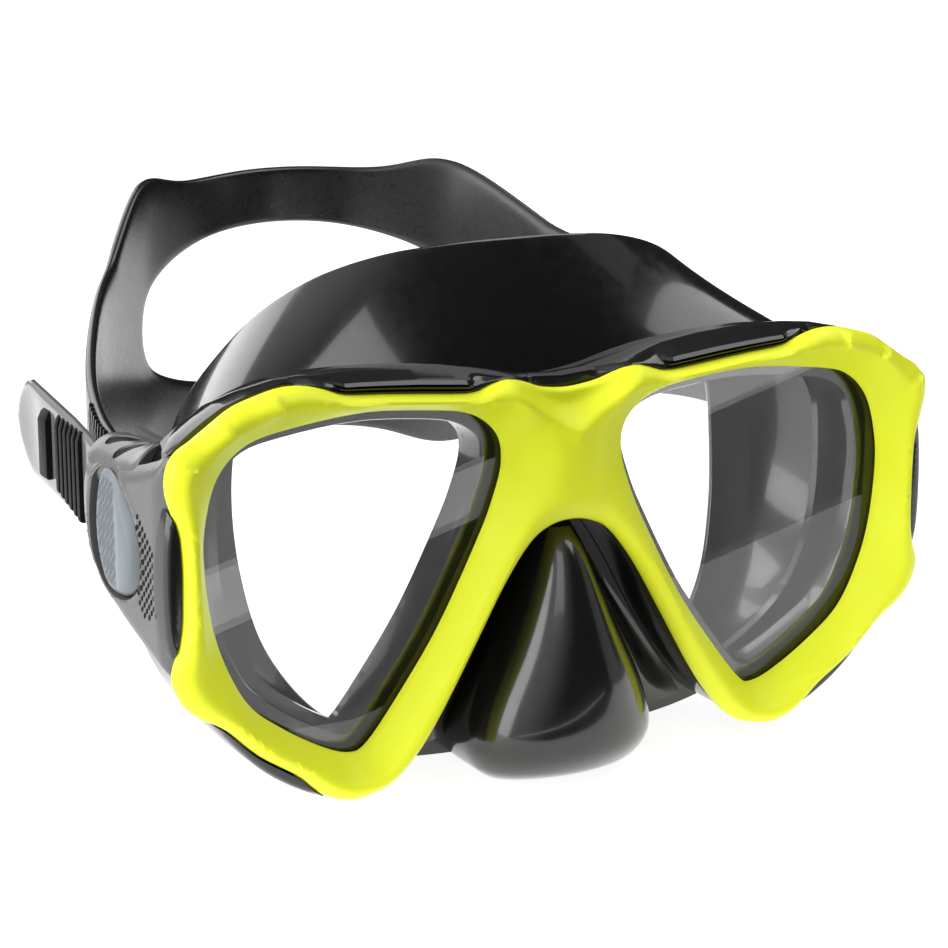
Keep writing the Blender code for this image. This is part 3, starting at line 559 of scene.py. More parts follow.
def carve_box(item, low, high, side):
    """Cut a box out of an object."""
    cutter = box_object(f"cutter_{side}", low, high)
    modifier = item.modifiers.new("Cut", "BOOLEAN")
    modifier.operation = "DIFFERENCE"
    modifier.solver = "EXACT"
    modifier.object = cutter
    applied(item)
    bpy.data.objects.remove(cutter, do_unlink=True)


def box_object(name, low, high):
    corners = [(x, y, z) for x in (low[0], high[0]) for y in (low[1], high[1]) for z in (low[2], high[2])]
    faces = [(0, 1, 3, 2), (4, 6, 7, 5), (0, 4, 5, 1), (2, 3, 7, 6), (0, 2, 6, 4), (1, 5, 7, 3)]
    return mesh_object(name, corners, faces, 30)


# ---- materials

def configured(tree, item, **values):
    """A node with its settings made; a value that is another node's output is linked."""
    for key, value in values.items():
        name = key.replace("_", " ")
        if isinstance(value, bpy.types.NodeSocket):
            tree.links.new(value, item.inputs[name])
        elif name in item.inputs:
            item.inputs[name].default_value = value
        else:
            setattr(item, key, value)
    return item


def node(tree, kind, **values):
    return configured(tree, tree.nodes.new("ShaderNode" + kind), **values)


def noise(tree, **values):
    """A noise in the object's own coordinates."""
    place = node(tree, "TexCoord").outputs["Object"]
    return node(tree, "TexNoise", Vector=place, **values).outputs["Fac"]


def ramp(tree, value, low, high, start=0, end=1, interpolation="LINEAR"):
    """A colour that goes from low to high as a value goes from start to end."""
    item = node(tree, "ValToRGB", Fac=value)
    item.color_ramp.interpolation = interpolation
    for element, position, colour in zip(item.color_ramp.elements, (start, end), (low, high)):
        element.position = position
        element.color = (*colour, 1)
    return item.outputs["Color"]


def spread(tree, value, start, end, low, high):
    """A value's range from start to end, spread from low to high."""
    item = node(tree, "MapRange", Value=value, From_Min=start, From_Max=end, To_Min=low, To_Max=high)
    return item.outputs["Result"]


def new_material(name):
    material = bpy.data.materials.new(name)
    material.use_nodes = True
    return material, material.node_tree, material.node_tree.nodes["Principled BSDF"]


def moulded(name, dark, light, rough, vary=0.05, patch=35, grain=1400, grain_depth=0.02, **settings):
    """A procedural moulded material.

    Broad patches shift its colour a little, and fine grain breaks up its reflections. The
    other settings are the shader's own.
    """
    material, tree, shader = new_material(name)
    broad = noise(tree, Scale=patch, Detail=4, Roughness=0.55)
    fine = noise(tree, Scale=grain, Detail=3, Roughness=0.6)
    bump = node(tree, "Bump", Strength=1, Distance=grain_depth * MM, Height=fine)
    configured(
        tree, shader, Base_Color=ramp(tree, broad, dark, light, 0.3, 0.7),
        Roughness=spread(tree, fine, 0.25, 0.75, rough - vary, rough + vary),
        Normal=bump.outputs["Normal"], Coat_Roughness=0.06, **settings,
    )
    return material


def glass(name):
    """Clear lens glass with faint smears in its polish."""
    material, tree, shader = new_material(name)
    smear = noise(tree, Scale=28, Detail=5, Roughness=0.6, Distortion=1.5)
    configured(
        tree, shader, Base_Color=ramp(tree, smear, (0.97, 0.985, 0.98), (1, 1, 1)),
        Roughness=spread(tree, smear, 0.55, 0.8, 0, 0.04), Transmission_Weight=1, IOR=1.5,
    )
    return material


def make_shades():
    return {
        "trim": moulded("yellow_plastic", (0.86, 0.93, 0.025), (0.93, 1, 0.045), 0.4,
                        grain=900, grain_depth=0.008, Specular_IOR_Level=0.2),
        "frame": moulded("black_gloss", (0.010, 0.010, 0.0105), (0.016, 0.0155, 0.016), 0.13, 0.03,
                         grain=700, grain_depth=0.004, Coat_Weight=0.2),
        "skirt": moulded("skirt_silicone", (0.006, 0.006, 0.006), (0.011, 0.0105, 0.0105), 0.2,
                         patch=20, grain=500, grain_depth=0.004, Coat_Weight=0.6),
        "strap": moulded("strap_silicone", (0.006, 0.006, 0.006), (0.011, 0.011, 0.011), 0.28, 0.02,
                         patch=24, grain=650, grain_depth=0.003, Specular_IOR_Level=0.7),
        # The tail is the strap's black silicone, lightened to grey: a painted sheen.
        "tail": moulded("tail_silicone", (0.1, 0.1, 0.1), (0.14, 0.14, 0.14), 0.22,
                        patch=24, grain=650, grain_depth=0.01, Coat_Weight=0.5),
        # Black silicone for the tail's teeth; the same material is the painted shade in the cap's slots.
        "teeth": moulded("tooth_silicone", (0.003, 0.003, 0.003), (0.006, 0.006, 0.006), 0.5,
                         patch=24, grain=650, grain_depth=0.006, Specular_IOR_Level=0.1),
        # Dark buckle plastic, its colour lifted to grey as a painted sheen.
        "buckle": moulded("buckle_plastic", (0.085, 0.085, 0.087), (0.11, 0.11, 0.112), 0.3,
                          grain=900, grain_depth=0.004, Coat_Weight=0.1),
        "button": moulded("button_plastic", (0.13, 0.15, 0.165), (0.165, 0.185, 0.2), 0.38, 0.06,
                          grain=1100),
        "lever": moulded("lever_acetal", (0.07, 0.07, 0.07), (0.11, 0.11, 0.11), 0.4, 0.08),
        "steel": moulded("pin_steel", (0.5, 0.5, 0.5), (0.68, 0.68, 0.68), 0.24, 0.08,
                         grain=2200, Metallic=1),
        "glass": glass("lens_glass"),
    }


# ---- camera and light

def add_camera():
    data = bpy.data.cameras.new("camera")
    data.lens = CAMERA_LENS
    data.sensor_width = 36
    data.clip_start = 0.01
    camera = bpy.data.objects.new("camera", data)
    camera.location = CAMERA_PLACE
    camera.rotation_euler = (radians(CAMERA_TILT), 0, radians(CAMERA_TURN))
    bpy.context.scene.collection.objects.link(camera)
    bpy.context.scene.camera = camera


def softbox(name, location, width, height, power):
    """A rectangular lamp that faces the mask, and that the camera doesn't see."""
    data = bpy.data.lights.new(name, "AREA")
    data.shape = "RECTANGLE"
    data.size = width
    data.size_y = height
    data.energy = power
    lamp = bpy.data.objects.new(name, data)
    lamp.location = location
    lamp.rotation_euler = (Vector(LAMP_TARGET) - lamp.location).to_track_quat("-Z", "Y").to_euler()
    lamp.visible_camera = False
    bpy.context.scene.collection.objects.link(lamp)
    return lamp


def add_sky():
    """A soft fill from the upper left. The camera sees plain white, also through the lenses."""
    sky = bpy.data.worlds.new("studio")
    sky.use_nodes = True
    tree = sky.node_tree
    tree.nodes.clear()
    facing = node(tree, "VectorMath", operation="DOT_PRODUCT")
    facing.inputs[1].default_value = Vector(SKY_BRIGHTEST).normalized()
    tree.links.new(node(tree, "TexCoord").outputs["Generated"], facing.inputs[0])
    shade = ramp(tree, facing.outputs["Value"], (0.03, 0.03, 0.03), (0.95, 0.95, 0.96), 0, 0.9, "EASE")
    fill = node(tree, "Background", Color=shade, Strength=1)
    seen = node(tree, "Background", Color=(1, 1, 1, 1), Strength=1.15)
    path = node(tree, "LightPath")
    either = node(tree, "Math", operation="MAXIMUM")
    mix = node(tree, "MixShader")
    for target, sources in (
        (either, (path.outputs["Is Camera Ray"], path.outputs["Is Transmission Ray"])),
        (mix, (either.outputs[0], fill.outputs[0], seen.outputs[0])),
    ):
        for source, socket in zip(sources, target.inputs):
            tree.links.new(source, socket)
    node(tree, "OutputWorld", Surface=mix.outputs[0])
    bpy.context.scene.world = sky


def add_studio():
    add_sky()
    for lamp in LAMPS:
        softbox(*lamp)
    strip = softbox(*STRIP_LAMP)
    strip.rotation_euler = (pi, 0, radians(STRIP_TURN))
    bpy.context.scene.view_settings.view_transform = "Standard"
    rim = [np.array((x, y, FLOOR_Z)) / MM - DATUM for x, y in FLOOR_CORNERS]
    floor = mesh_object("floor", rim, [tuple(range(len(rim)))], 0)
    floor.data.materials.append(moulded(
        "pale_floor", (0.5, 0.5, 0.5), (0.52, 0.52, 0.52), 0.7, patch=3, grain=60,
        Emission_Color=(1, 1, 1, 1), Emission_Strength=0.9,
    ))


# ---- trim and frame

def trim_height(outline, window):
    """Depth of the trim's front: a ridge nearer the outer edge, with a scoop over the nose."""
    windows = [resampled(window, 1.5), resampled(flipped(window), 1.5)]
    edge = resampled(outline, 1.5)

    def height(p):
        x, z = np.abs(p[:, 0]), p[:, 1]
        to_window = distance_to_any(p, windows)
        to_edge = distance_to(p, edge)
        width = to_window + to_edge
        inner_reach = np.minimum(INNER_REACH, INNER_SHARE * width)
        inner = levelled(to_window / np.maximum(inner_reach, 0.1))
        over_nose = (1 - eased(x, 2, 12.5)) * eased(z, 48, 54)
        outer_reach = np.minimum(OUTER_REACH, OUTER_SHARE * width)
        outer_reach += (NOSE_REACH - outer_reach) * over_nose
        fall = to_edge / np.maximum(outer_reach, 0.1)
        plain = 0.56 + 0.44 * (0.45 * dome(fall) + 0.55 * levelled(fall))
        hollow = 0.30 + 0.70 * np.maximum(levelled(fall), 0) ** 1.7
        outer = plain * (1 - over_nose) + hollow * over_nose
        rise = RIDGE_RISE * (0.05 + 0.95 * inner) * outer
        rise += vee_rise(x, z, to_edge) + wedge_rise(x, z, to_edge)
        # Rounded over at the outer edge.
        rise -= 1.1 * (1 - dome(to_edge / 1.1)) ** 2
        return -rise

    return height


def vee_rise(x, z, to_edge):
    """A V-shaped ridge across the bridge, with a shallow scoop above it."""
    above = z - (VEE_Z + VEE_SLOPE * x)
    ridge = VEE_RISE * np.exp(-(above / 1.5) ** 2)
    scoop = VEE_SCOOP * eased(above, 1.5, 5) * eased(to_edge, 0.5, 2.5)
    return (1 - eased(x, 9, 15)) * (ridge - scoop)


def wedge_rise(x, z, to_edge):
    """Raised wedges that step down each outer shoulder."""
    rise = np.zeros(len(x))
    for wedge_x, wedge_z, down in WEDGES:
        turn = radians(down)
        dx, dz = x - wedge_x, z - wedge_z
        along = dx * cos(turn) + dz * sin(turn)
        near = np.hypot(dx, dz) < WEDGE_RADIUS
        rise += np.clip(1 + along / WEDGE_LENGTH, 0, 1) * (along < 0) * near
    return rise * eased(to_edge, 0.1, 0.7) * (1 - eased(to_edge, 3.4, 4.4))


def trim_pieces(trim, window):
    yield "trim", relief(
        "trim_ring", trim, [window, flipped(window)], trim_height(trim, window), TRIM_BACK, on_front,
        spacing=0.8, edge_steps=(0.22, 0.5, 0.9, 1.4), sharp=50, tuck=2.2,
    )


def window_band(name, window, section):
    """A band round a window, from its section."""
    rings = [on_front(grown(window, offset), y) for offset, y in section]
    return loft(name, rings, closed=True)


def frame_pieces(trim, window):
    outline = spline(mirrored(FRAME_HALF), 4)
    trim_edge = resampled(trim, 0.5)
    frame_edge = resampled(outline, 1.2)

    def height(p):
        beyond = distance_to(p, trim_edge)
        beyond[inside(p, trim_edge)] *= -1
        front = 1.6 * (1 - dome(distance_to(p, frame_edge) / 1.6)) ** 2 - FRAME_FRONT
        front = np.where(p[:, 1] > BROW_FOOT, FRAME_UNDER_BROW, front)
        return np.where(beyond > 0.25, front, FRAME_UNDER_TRIM)

    pocket = grown(window, LENS_POCKET)
    yield "frame", relief(
        "frame_rim", outline, [pocket, flipped(pocket)], height, FRAME_BACK, on_front,
        spacing=0.85, creases=[grown(trim, 0.2), grown(trim, 0.3)], sharp=35,
    )


def seat_pieces(window):
    for side in SIDES:
        yield "frame", window_band(f"lens_seat_{side}", window, SEAT_SECTION)


def top_edge(outline):
    """A function that gives the height of an outline's upper side on the wearer's left."""
    half = outline[(outline[:, 0] >= -0.01) & (outline[:, 1] > 55)]
    order = half[np.argsort(half[:, 0])]
    return lambda x: np.interp(x, order[:, 0], order[:, 1])


def brow_pieces(trim):
    """The glossy panels over the trim, with a raised strip and two fine grooves."""
    trim_top = top_edge(trim)
    edge_x, edge_z = np.array(BROW_EDGE).T
    plain, strip = np.array(BROW_PLAIN), np.array(BROW_STRIP)
    rings = []
    for x in np.arange(-BROW_END, BROW_END + 0.01, 0.5):
        across = abs(x)
        weight = eased(across, 18, 20.5) * (1 - eased(across, 43, 46))
        section = plain + (strip - plain) * weight
        low, high = trim_top(across), np.interp(across, edge_x, edge_z)
        # Past the panels the brow is only the frame's top, behind the trim.
        bare = eased(across, 45, 53) + 1 - eased(across, 5, 12)
        y = section[:, 1] + (np.maximum(section[:, 1], 0.4) - section[:, 1]) * bare
        # Its back comes forward towards the ends.
        back = BROW_BACK - 2.9 * eased(across, 56, 68) - 5.5 * eased(across, 68, BROW_END)
        y = np.where(y > 0, y * back / BROW_BACK, y)
        reach = np.clip(high - low, 0.6 + 1.4 * min(bare, 1), 9)
        z = high - reach * (1 - section[:, 0]) - 0.3 * np.maximum(y - 3.5, 0)
        rings.append(np.stack([np.full(len(z), x), y, z], 1))
    yield "frame", loft("brow_panel", rings, sharp=28)


# ---- skirt

def between(a, b, t):
    """A loop part of the way from one to another, swelling in the middle of the way."""
    mixed = a + (b - a) * t
    return on_front(grown(mixed[:, [0, 2]], SKIRT_BULGE * 4 * t * (1 - t)), mixed[:, 1])


def drawn_in(loop, distance):
    return on_front(grown(loop[:, [0, 2]], -distance), loop[:, 1])


def skirt_rings(root, edge, lip):
    """Rings out along the wall to the face edge, round the lip and back along the inside."""
    to_root = unit(root - edge)
    to_lip = unit(lip - edge)
    bisector = unit(to_root + to_lip)
    half = np.arccos(np.clip(np.sum(to_root * to_lip, 1), -1, 1)) / 2
    fold = edge + bisector * (SKIRT_WALL / np.sin(half))[:, None]
    rings = [between(root, edge, t) for t in np.linspace(0, ROLL_START, 22)]
    # The face edge rolls over in a small radius.
    start, middle, end = rings[-1], edge - bisector * 0.1, edge + to_lip
    for t in (0.25, 0.5, 0.75):
        rings.append((1 - t) ** 2 * start + 2 * t * (1 - t) * middle + t * t * end)
    for t in np.linspace(0.07, 0.95, 8):
        rings.append(edge + (lip - edge) * t + 0.35 * sin(pi * t) * INWARD)
    rings += [lip - 0.25 * INWARD, lip - 0.75 * INWARD + to_lip * 0.25, lip - 1.4 * INWARD]
    under = lip - 1.6 * INWARD
    rings += [under + (fold - under) * t for t in (0.3, 0.6, 0.85)]
    inner_root = drawn_in(root, SKIRT_WALL) + SKIRT_WALL * INWARD
    rings += [between(fold, inner_root, t) for t in np.linspace(0, 1, 14)]
    flange = drawn_in(root, SKIRT_FLANGE)
    return rings + [flange + SKIRT_WALL * INWARD, flange]


def skirt_pieces():
    loops = [spline(mirrored(half), 6) for half in (SKIRT_ROOT_HALF, SKIRT_EDGE_HALF, SKIRT_LIP_HALF)]
    yield "skirt", loft("skirt_wall", skirt_rings(*loops), closed=True, sharp=50)

    outline = grown(spline(mirrored([(x, z) for x, _, z in SKIRT_ROOT_HALF]), 4), -1)
    window = spline(WINDOW, 4)
    bore = grown(window, -2.5)
    nose_hole = np.array(NOSE_HOLE_HALF + [(-x, z) for x, z in reversed(NOSE_HOLE_HALF)])
    yield "skirt", relief(
        "skirt_front", outline, [bore, flipped(bore), nose_hole],
        lambda p: np.full(len(p), 11.35), 13.2, on_front, spacing=1.6, edge_steps=(),
    )
    for side in SIDES:
        yield "skirt", window_band(f"lens_seal_{side}", window, SEAL_SECTION)


def nose_ring(z, half_width, front):
    """A U round the nose, open at the back; a little fuller than an ellipse at the front."""
    ring = [(half_width, NOSE_BACK, z)]
    for turn in np.linspace(0, pi, 41):
        y = NOSE_SIDE - (NOSE_SIDE - front) * max(sin(turn), 0) ** 0.92
        ring.append((half_width * cos(turn), y, z))
    ring.append((-half_width, NOSE_BACK, z))
    return ring


def nose_pieces():
    sections = spline(NOSE_SECTIONS, 8, closed=False)
    lowest, highest = sections[0][0] + NOSE_WALL, sections[-1][0] - NOSE_WALL
    outers = [nose_ring(z, half, front) for z, half, front in sections]
    inners = [
        nose_ring(min(max(z, lowest), highest), half - NOSE_WALL, front + NOSE_WALL)
        for z, half, front in sections
    ]
    count = len(outers[0])
    rows = len(outers)
    skin = rows * count
    faces = []
    for r in range(rows - 1):
        for i in range(count - 1):
            a, b = r * count + i, (r + 1) * count + i
            faces.append((a, a + 1, b + 1, b))
            faces.append((a + skin, b + skin, b + skin + 1, a + skin + 1))
    for first in (0, (rows - 1) * count):
        faces.append(tuple(range(first, first + count)))
        faces.append(tuple(range(skin + first, skin + first + count)))
    # The two back edges join the outside and the inside.
    for r in range(rows - 1):
        for i in (0, count - 1):
            a, b = r * count + i, (r + 1) * count + i
            faces.append((a, b, b + skin, a + skin))
    yield "skirt", mesh_object("nose_pocket", np.vstack(outers + inners), faces, 45)


def gusset_ring(z, x_in, x_out, y):
    """A wavy front from the pocket's flank out to the cheek, with a flat back."""
    ring = []
    for t in np.linspace(0, 1, 13):
        fold = 1.5 * sin(2 * pi * t) * sin(pi * (42 - z) / 40)
        ring.append((x_in + (x_out - x_in) * t, y - fold - 2 * sin(pi * t), z))
    return np.array(ring + [(x, GUSSET_BACK, z) for x, _, z in reversed(ring)])


def gusset_pieces():
    rings = np.array([gusset_ring(*section) for section in GUSSET_SECTIONS])
    fine = spline(rings.reshape(len(rings), -1), 5, closed=False)
    for side in SIDES:
        yield "skirt", loft(f"nose_gusset_{side}", [r.reshape(-1, 3) for r in fine], sharp=50)


# ---- strap

def strap_curve():
    """The place (x, y) at a distance along the strap's plan, and the hinge's distance."""
    curve = spline(STRAP_PLAN_HALF, 24, closed=False)
    lengths = travelled(curve)
    hinge = float(np.interp(HINGE_Y, curve[::-1, 1], lengths[::-1]))

    def point_at(distance):
        x = np.interp(abs(distance), lengths, curve[:, 0])
        y = np.interp(abs(distance), lengths, curve[:, 1])
        return copysign(x, distance) if distance else 0, y

    return point_at, hinge


def strap_sheet(point_at, sections):
    """Points and faces of the strap's middle surface: the pad round its hole, and both arms."""
    outer, hole = mirrored(PAD_TOP + JUNCTION + PAD_BOTTOM), mirrored(PAD_HOLE)
    points = []
    faces = []

    def vertex(distance, z):
        points.append((*point_at(distance), z))
        return len(points) - 1

    rings = []
    for share in (0, 0.12, 0.35, 0.65, 0.88, 1):
        rings.append([
            vertex(a[0] + (b[0] - a[0]) * share, a[1] + (b[1] - a[1]) * share) for a, b in zip(hole, outer)
        ])
    total = len(outer)
    for ring_a, ring_b in zip(rings, rings[1:]):
        for i in range(total):
            j = (i + 1) % total
            faces.append((ring_a[i], ring_a[j], ring_b[j], ring_b[i]))
    first = len(PAD_TOP)
    # The last two sections bulge into the rounded end of the arm.
    bulges = [0] * (len(sections) - 3) + [0.35, 1]
    for sign in (1, -1):
        column = [rings[-1][sign * (first + row) % total] for row in range(len(JUNCTION))]
        for (distance, middle, half), bulge in zip(sections[1:], bulges):
            following = []
            for across in np.linspace(1, -1, len(JUNCTION)):
                extra = bulge * half * sqrt(1 - across * across)
                following.append(vertex(sign * (distance + extra), middle + across * half))
            for row in range(len(JUNCTION) - 1):
                corners = (column[row], column[row + 1], following[row + 1], following[row])
                faces.append(corners if sign > 0 else corners[::-1])
            column = following
    return points, faces


def strap_pieces():
    point_at, hinge = strap_curve()
    sections = ARM_SECTIONS + [(hinge - 6, 53.6, ARM_HALF), (hinge, STRAP_Z, ARM_HALF)]
    band = mesh_object("strap_band", *strap_sheet(point_at, sections), 0)
    thick = band.modifiers.new("Thickness", "SOLIDIFY")
    thick.thickness = STRAP_THICKNESS * MM
    thick.offset = 0
    smooth = band.modifiers.new("Smooth", "SUBSURF")
    smooth.levels = smooth.render_levels = 2
    applied(band)
    yield "strap", band
    for side in SIDES:
        yield from rib_pieces(side, point_at, hinge, np.array(sections))


def rib_pieces(side, point_at, hinge, sections):
    """Eight ribs across the arm's outer face, next to the hinge."""
    points = []
    faces = []
    for k in range(8):
        distance = hinge - 2 - 1.7 * k
        middle = np.interp(distance, sections[:, 0], sections[:, 1])
        half = np.interp(distance, sections[:, 0], sections[:, 2]) - 0.3
        faces += tube_faces(len(points), 4, 9)
        for row in range(9):
            z = middle + half * (1 - row / 4)
            taper = 0.86 if row in (0, 8) else 1
            for s, rise in ((-0.5, 0.7), (-0.3, 1.35), (0.3, 1.35), (0.5, 0.7)):
                here, ahead = np.array(point_at(distance + s)), np.array(point_at(distance + s + 0.5))
                along = (ahead - here) / np.linalg.norm(ahead - here)
                outwards = np.array([-along[1], along[0]]) * copysign(1, -along[1])
                points.append((*(here + outwards * rise * taper), z))
    yield "strap", mesh_object(f"arm_ribs_{side}", points, faces, 60)


def tail_half_width(y):
    width = 8 + 1.2 * min(1, max(0, (y - TAIL_BEND_Y) / 20))
    if y > TAIL_ROUND_Y:
        across = min(1, (y - TAIL_ROUND_Y) / (TAIL_END_Y - TAIL_ROUND_Y))
        width *= sqrt(max(0.02, 1 - across * across))
    # Narrower where it is inside the buckle.
    return min(width, TAIL_HALF_INSIDE + 2 * eased(y, 24, 29))


def tail_rows():
    """Places across the strap from -1 to 1, closer together near its edges."""
    even = np.linspace(-1, 1, 15)
    return np.copysign(1 - (1 - np.abs(even)) ** 1.35, even)


def socket_ring():
    """The strap's end at the hinge, hollowed to go round the arm's rounded end."""
    z = tail_rows() * ARM_HALF
    y = HINGE_Y - np.sqrt((ARM_HALF + 0.5) ** 2 - z ** 2)
    low, high = (np.stack([np.full(len(y), ROLLER_X - x), y, STRAP_Z + z], 1) for x in TAIL_FACES)
    return np.vstack([low, high[::-1]])


def tail_ring(low, high, half, rise=0, dish=0):
    """A section between two points of the tail's faces, with rounded edges."""
    across = tail_rows()
    round_off = 0.275 * np.maximum(0, np.abs(across) * half - (half - 0.7)) / 0.7
    z = STRAP_Z + across * half + rise
    faces = []
    for own, other, depth in ((low, high, 0), (high, low, dish)):
        x = own[0] + (other[0] - own[0]) * round_off - depth * (1 - across * across)
        y = own[1] + (other[1] - own[1]) * round_off
        faces.append(np.stack([x, y, z], 1))
    return np.vstack([faces[0], faces[1][::-1]])


def tail_pieces():
    rings = [socket_ring()]
    for degrees in range(180, 361, 10):
        c, s = cos(radians(degrees)), sin(radians(degrees))
        low, high = ((ROLLER_X + radius * c, ROLLER_Y + radius * s) for radius in TAIL_FACES)
        rings.append(tail_ring(low, high, TAIL_HALF_INSIDE))
    for y in TAIL_PLACES:
        low, high = ((ROLLER_X + offset, y) for offset in TAIL_FACES)
        rise = TAIL_SLOPE * max(0, y - TAIL_BEND_Y)
        dish = 0.5 * sin(pi * min(1, max(0, y - TAIL_DISH_Y) / 12))
        rings.append(tail_ring(low, high, tail_half_width(y), rise, dish))
    for side in SIDES:
        yield "tail", loft(f"strap_tail_{side}", rings, sharp=42)
        yield from teeth_pieces(side)


def teeth_pieces(side):
    """The tail's teeth, each with a sloped top."""
    base = ROLLER_X + TAIL_FACES[1] - 0.2
    points = []
    faces = []
    for y, half, up, down, rise in TEETH:
        middle = STRAP_Z + TAIL_SLOPE * (y - TAIL_BEND_Y)
        # Height, and shares of the width and of the rise.
        rows = [
            (middle - down, 0.55, 0.25), (middle - down + 0.25, 0.9, 0.8), (middle - down + 0.7, 1, 1),
            (middle, 1, 1), (middle + up - 1.9, 1, 1), (middle + up - 0.5, 0.95, 0.55),
            (middle + up, 0.8, 0.2),
        ]
        faces += tube_faces(len(points), 6, len(rows))
        for z, wide, tall in rows:
            w = half * wide
            x = base + (rise + 0.2) * tall
            points += [(base, y - w, z), (x, y - w + 0.12, z), (x + 0.05, y - w + 0.3, z),
                       (x + 0.05, y + w - 0.3, z), (x, y + w - 0.12, z), (base, y + w, z)]
    yield "teeth", mesh_object(f"tail_teeth_{side}", points, faces, 35)


# ---- buckles

def perforations():
    """Small slanted oblong holes in rows over the front of the shell."""
    field = spline(PERFORATION_FIELD, 4)
    tilt = radians(HOLE_TILT)
    turn = np.radians(np.arange(0, 360, 40))
    a, b = HOLE_RADII[0] * np.cos(turn), HOLE_RADII[1] * np.sin(turn)
    oblong = np.stack([
        -a * cos(tilt) - b * sin(tilt), a * sin(tilt) - b * cos(tilt),
    ], 1)
    loops = []
    for row in range(20):
        for column in range(6):
            y = HOLES_FROM[0] + (column + (row % 2) / 2) * HOLE_PITCH[0]
            middle = np.array([[y, HOLES_FROM[1] + row * HOLE_PITCH[1]]])
            if inside(middle, field)[0] and distance_to(middle, field)[0] >= 0.3:
                loops.append(middle + oblong)
    return loops


def shell_pieces(side):
    """The buckle's leaning outer face, with a recess round the button and a field of holes."""
    profile = spline(WING_PROFILE, 6)
    rim = resampled(profile, 1)
    recess_top = grown(spline(BUTTON_PROFILE, 6), RECESS_GAP)
    recess_top[:, 0] += eased(recess_top[:, 0], 15, 21)
    recess_floor = grown(recess_top, -0.22)
    holes = perforations()
    hole_floors = [loop.mean(0) + (loop - loop.mean(0)) * 0.8 for loop in holes]

    def height(p):
        depth = SHELL_X + SHELL_CROWN * dome(distance_to(p, rim) / 3.2)
        depth[covered(p, recess_floor)] = RECESS_X
        # A low lip round the recess.
        near = distance_to(p, recess_top)
        lip = ~inside(p, recess_top) & (near < 1.1)
        depth[lip] += 0.25 * np.sin(np.pi * near[lip] / 1.1)
        for loop in hole_floors:
            close = np.where(np.sum((p - loop.mean(0)) ** 2, axis=1) < 1)[0]
            if len(close):
                depth[close[covered(p[close], loop)]] -= HOLE_DEPTH
        return depth

    def back(p):
        return SHELL_INNER_X - 2.2 * eased(-p[:, 0], -8, 0) - SLANT * (p[:, 0] - SLANT_Y)

    shell = relief(
        f"buckle_shell_{side}", profile, [], height, back, on_wing, spacing=0.8,
        creases=[recess_top, recess_floor] + holes + hole_floors,
        edge_steps=(0.25, 0.6, 1.1, 1.8), sharp=40,
    )
    # Room for the button's spring and lever.
    carve_box(shell, (72, 12.5, 44), (78, 21.5, 52), side)
    yield "buckle", shell


def cage_pieces(side):
    """The hollow body round the roller, open at the back for the strap."""
    cage = box_object(f"buckle_cage_{side}", (69.3, 11.5, 42.3), (75.5, 26.4, 60.2))
    bevel = cage.modifiers.new("Bevel", "BEVEL")
    bevel.width = 0.8 * MM
    bevel.segments = 4
    applied(cage)
    carve_box(cage, (68, 14.6, 44.3), (76.9, 34, 59.4), side)
    cage.data.shade_smooth()
    cage.data.set_sharp_from_angle(angle=radians(35))
    yield "buckle", cage


def slot_loop(points, half):
    """An oblong with rounded ends along a curve."""
    line = spline(points, 5, closed=False)
    along = unit(np.gradient(line, axis=0))
    normal = np.stack([-along[:, 1], along[:, 0]], 1)
    width = half * np.sqrt(np.clip(1 - np.linspace(-1, 1, len(line)) ** 4, 0.05, 1))[:, None]
    return np.vstack([line + normal * width, (line - normal * width)[::-1]])


def cap_pieces(side):
    """The buckle's domed top with its two drain slots, which turns over into the shell; near-black plugs in
    the slots are painted shade.
    """
    outline = spline(CAP_OUTLINE, 6)
    edge = resampled(outline, 0.8)
    slots = [slot_loop(points, half) for points, half in CAP_SLOTS]
    floors = [grown(loop, -0.18) for loop in slots]
    crest_y, crest_z = np.array(CREST).T

    def crown(p):
        from_outside = CAP_OUTER_X - p[:, 0]
        rise = CAP_RISE * dome(from_outside / 6) - 1.5 * (1 - dome(from_outside / 2.2)) ** 2 - 0.15
        rise -= 0.5 * (1 - dome(distance_to(p, edge) / 0.9)) ** 2
        return np.interp(p[:, 1], crest_y, crest_z) + rise

    def height(p):
        z = crown(p)
        for loop in floors:
            z[covered(p, loop)] -= SLOT_DEPTH
        return z

    yield "buckle", relief(
        f"buckle_cap_{side}", outline, [], height, CAP_FOOT, on_top, spacing=0.55,
        creases=slots + floors, edge_steps=(0.2, 0.5, 0.9, 1.4), sharp=42, tuck=0.4,
    )
    # Near-black plugs fill the slots just under the cap's surface: painted shade for the dark of the open
    # slots.
    for name, loop in zip(("rear", "front"), floors):
        yield "vent", relief(
            f"buckle_vent_{name}_{side}", grown(loop, -0.04), [], lambda p: crown(p) - 0.25,
            CAP_FOOT + 1, on_top, spacing=0.5, edge_steps=(),
        )


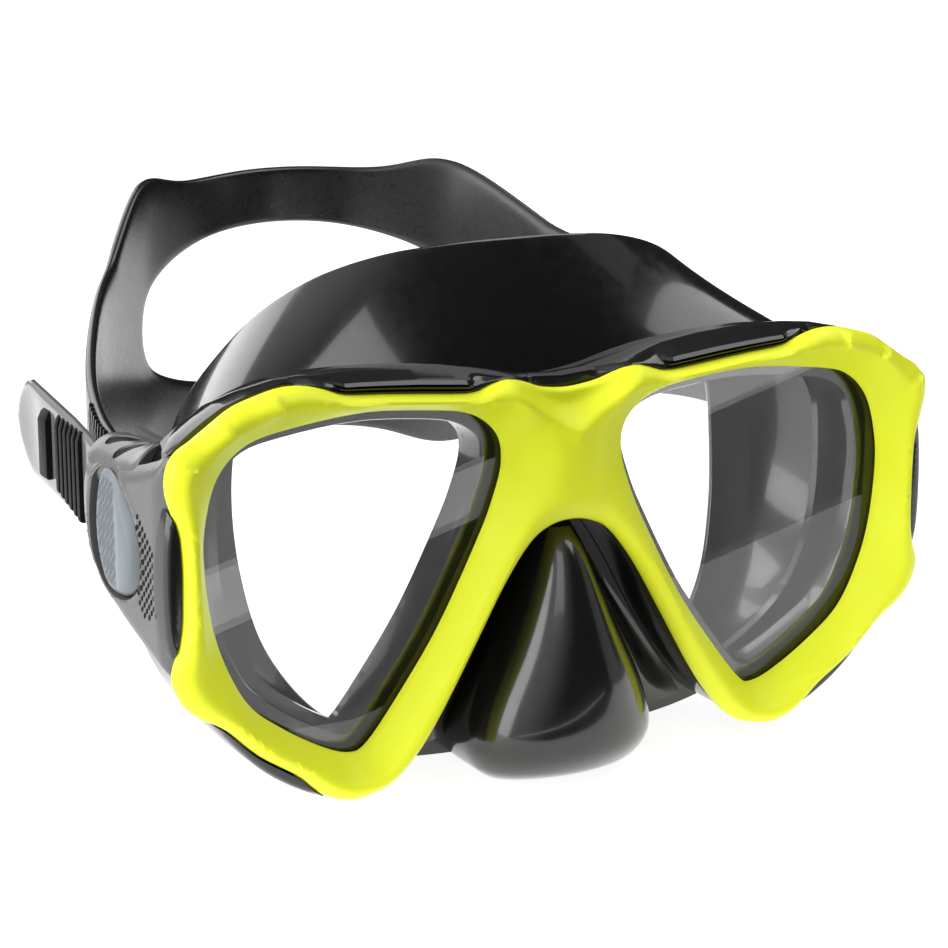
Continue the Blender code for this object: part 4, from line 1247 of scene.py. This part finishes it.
def button_pieces(side):
    """The pad: a smooth domed front part, and a rear part with slanted ridges for the finger."""
    outline = spline(BUTTON_PROFILE, 6)
    rim = resampled(outline, 0.8)
    slope = np.array([cos(radians(205)), sin(radians(205))])

    def height(p):
        to_rim = distance_to(p, rim)
        depth = BUTTON_EDGE + 0.65 * dome(to_rim / 1.5)
        rear = eased(p[:, 0], BUTTON_STEP_Y, BUTTON_STEP_Y + 0.6)
        depth += (1 - rear) * 0.8 * dome((BUTTON_STEP_Y + 0.5 - p[:, 0]) / 3.2) * dome(to_rim / 3)
        wave = ((p - np.array([14, 48])) @ slope % RIDGE_PITCH) / RIDGE_PITCH
        ridge = np.clip(wave / 0.65, 0, 1) - np.clip((wave - 0.65) / 0.35, 0, 1)
        depth += rear * (ridge - 0.6) * RIDGE_DEPTH * eased(to_rim, 0.7, 1.5)
        return depth

    yield "button", relief(
        f"button_pad_{side}", outline, [], height, BUTTON_BACK, on_wing,
        spacing=0.32, edge_steps=(0.15, 0.4, 0.8), sharp=55,
    )


# ---- assembly

# Kinds of pieces: the material, the body they ride on, the slot, and the CAD node they replace.
KINDS = {
    "trim": ("trim", "mask", "trim_yellow", "trim_bezel"),
    "frame": ("frame", "mask", "frame_black", "main_frame"),
    "skirt": ("skirt", "mask", "skirt_silicone", "skirt"),
    "strap": ("strap", "strap", "strap_silicone", "strap_pad"),
    "tail": ("tail", "mask", "strap_silicone", "strap_end_{side}"),
    "teeth": ("teeth", "mask", "strap_silicone", "strap_end_{side}"),
    "buckle": ("buckle", "mask", "buckle_plastic", "buckle_housing_{side}"),
    # Near-black plugs in the cap's slots: painted shade, in the teeth's material.
    "vent": ("teeth", "mask", "frame_black", "buckle_housing_{side}"),
    "button": ("button", "button_{side}", "button_grey", "release_button_{side}"),
}
# The CAD parts shown as they are, one on each side, with their materials.
CARRIED = {
    "lens": "glass", "buckle_base": "buckle", "ratchet_pawl": "lever", "pivot_pin": "steel",
    "button_spring": "steel", "strap_roller": "lever", "roller_pin": "steel",
}


def all_pieces():
    """Every new piece in turn, with its kind."""
    trim = spline(mirrored(TRIM_HALF), 4)
    window = spline(WINDOW, 5)
    yield from trim_pieces(trim, window)
    yield from frame_pieces(trim, window)
    yield from brow_pieces(trim)
    yield from seat_pieces(window)
    for pieces in (skirt_pieces, nose_pieces, gusset_pieces, strap_pieces, tail_pieces):
        yield from pieces()
    for side in SIDES:
        for pieces in (shell_pieces, cage_pieces, cap_pieces, button_pieces):
            yield from pieces(side)


def clothe(item, shade):
    item.data.materials.clear()
    item.data.materials.append(shade)


def main():
    for item in list(bpy.data.objects):
        bpy.data.objects.remove(item, do_unlink=True)
    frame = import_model()
    add_camera()
    add_studio()
    shades = make_shades()
    for part, shade in CARRIED.items():
        for side in SIDES:
            clothe(frame["nodes"][f"{part}_{side}"], shades[shade])
    for kind, piece in all_pieces():
        side = piece.name.split("_")[-1]
        shade, body, slot, replaced = (text.format(side=side) for text in KINDS[kind])
        clothe(piece, shades[shade])
        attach(piece, body)
        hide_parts(replaced)


main()
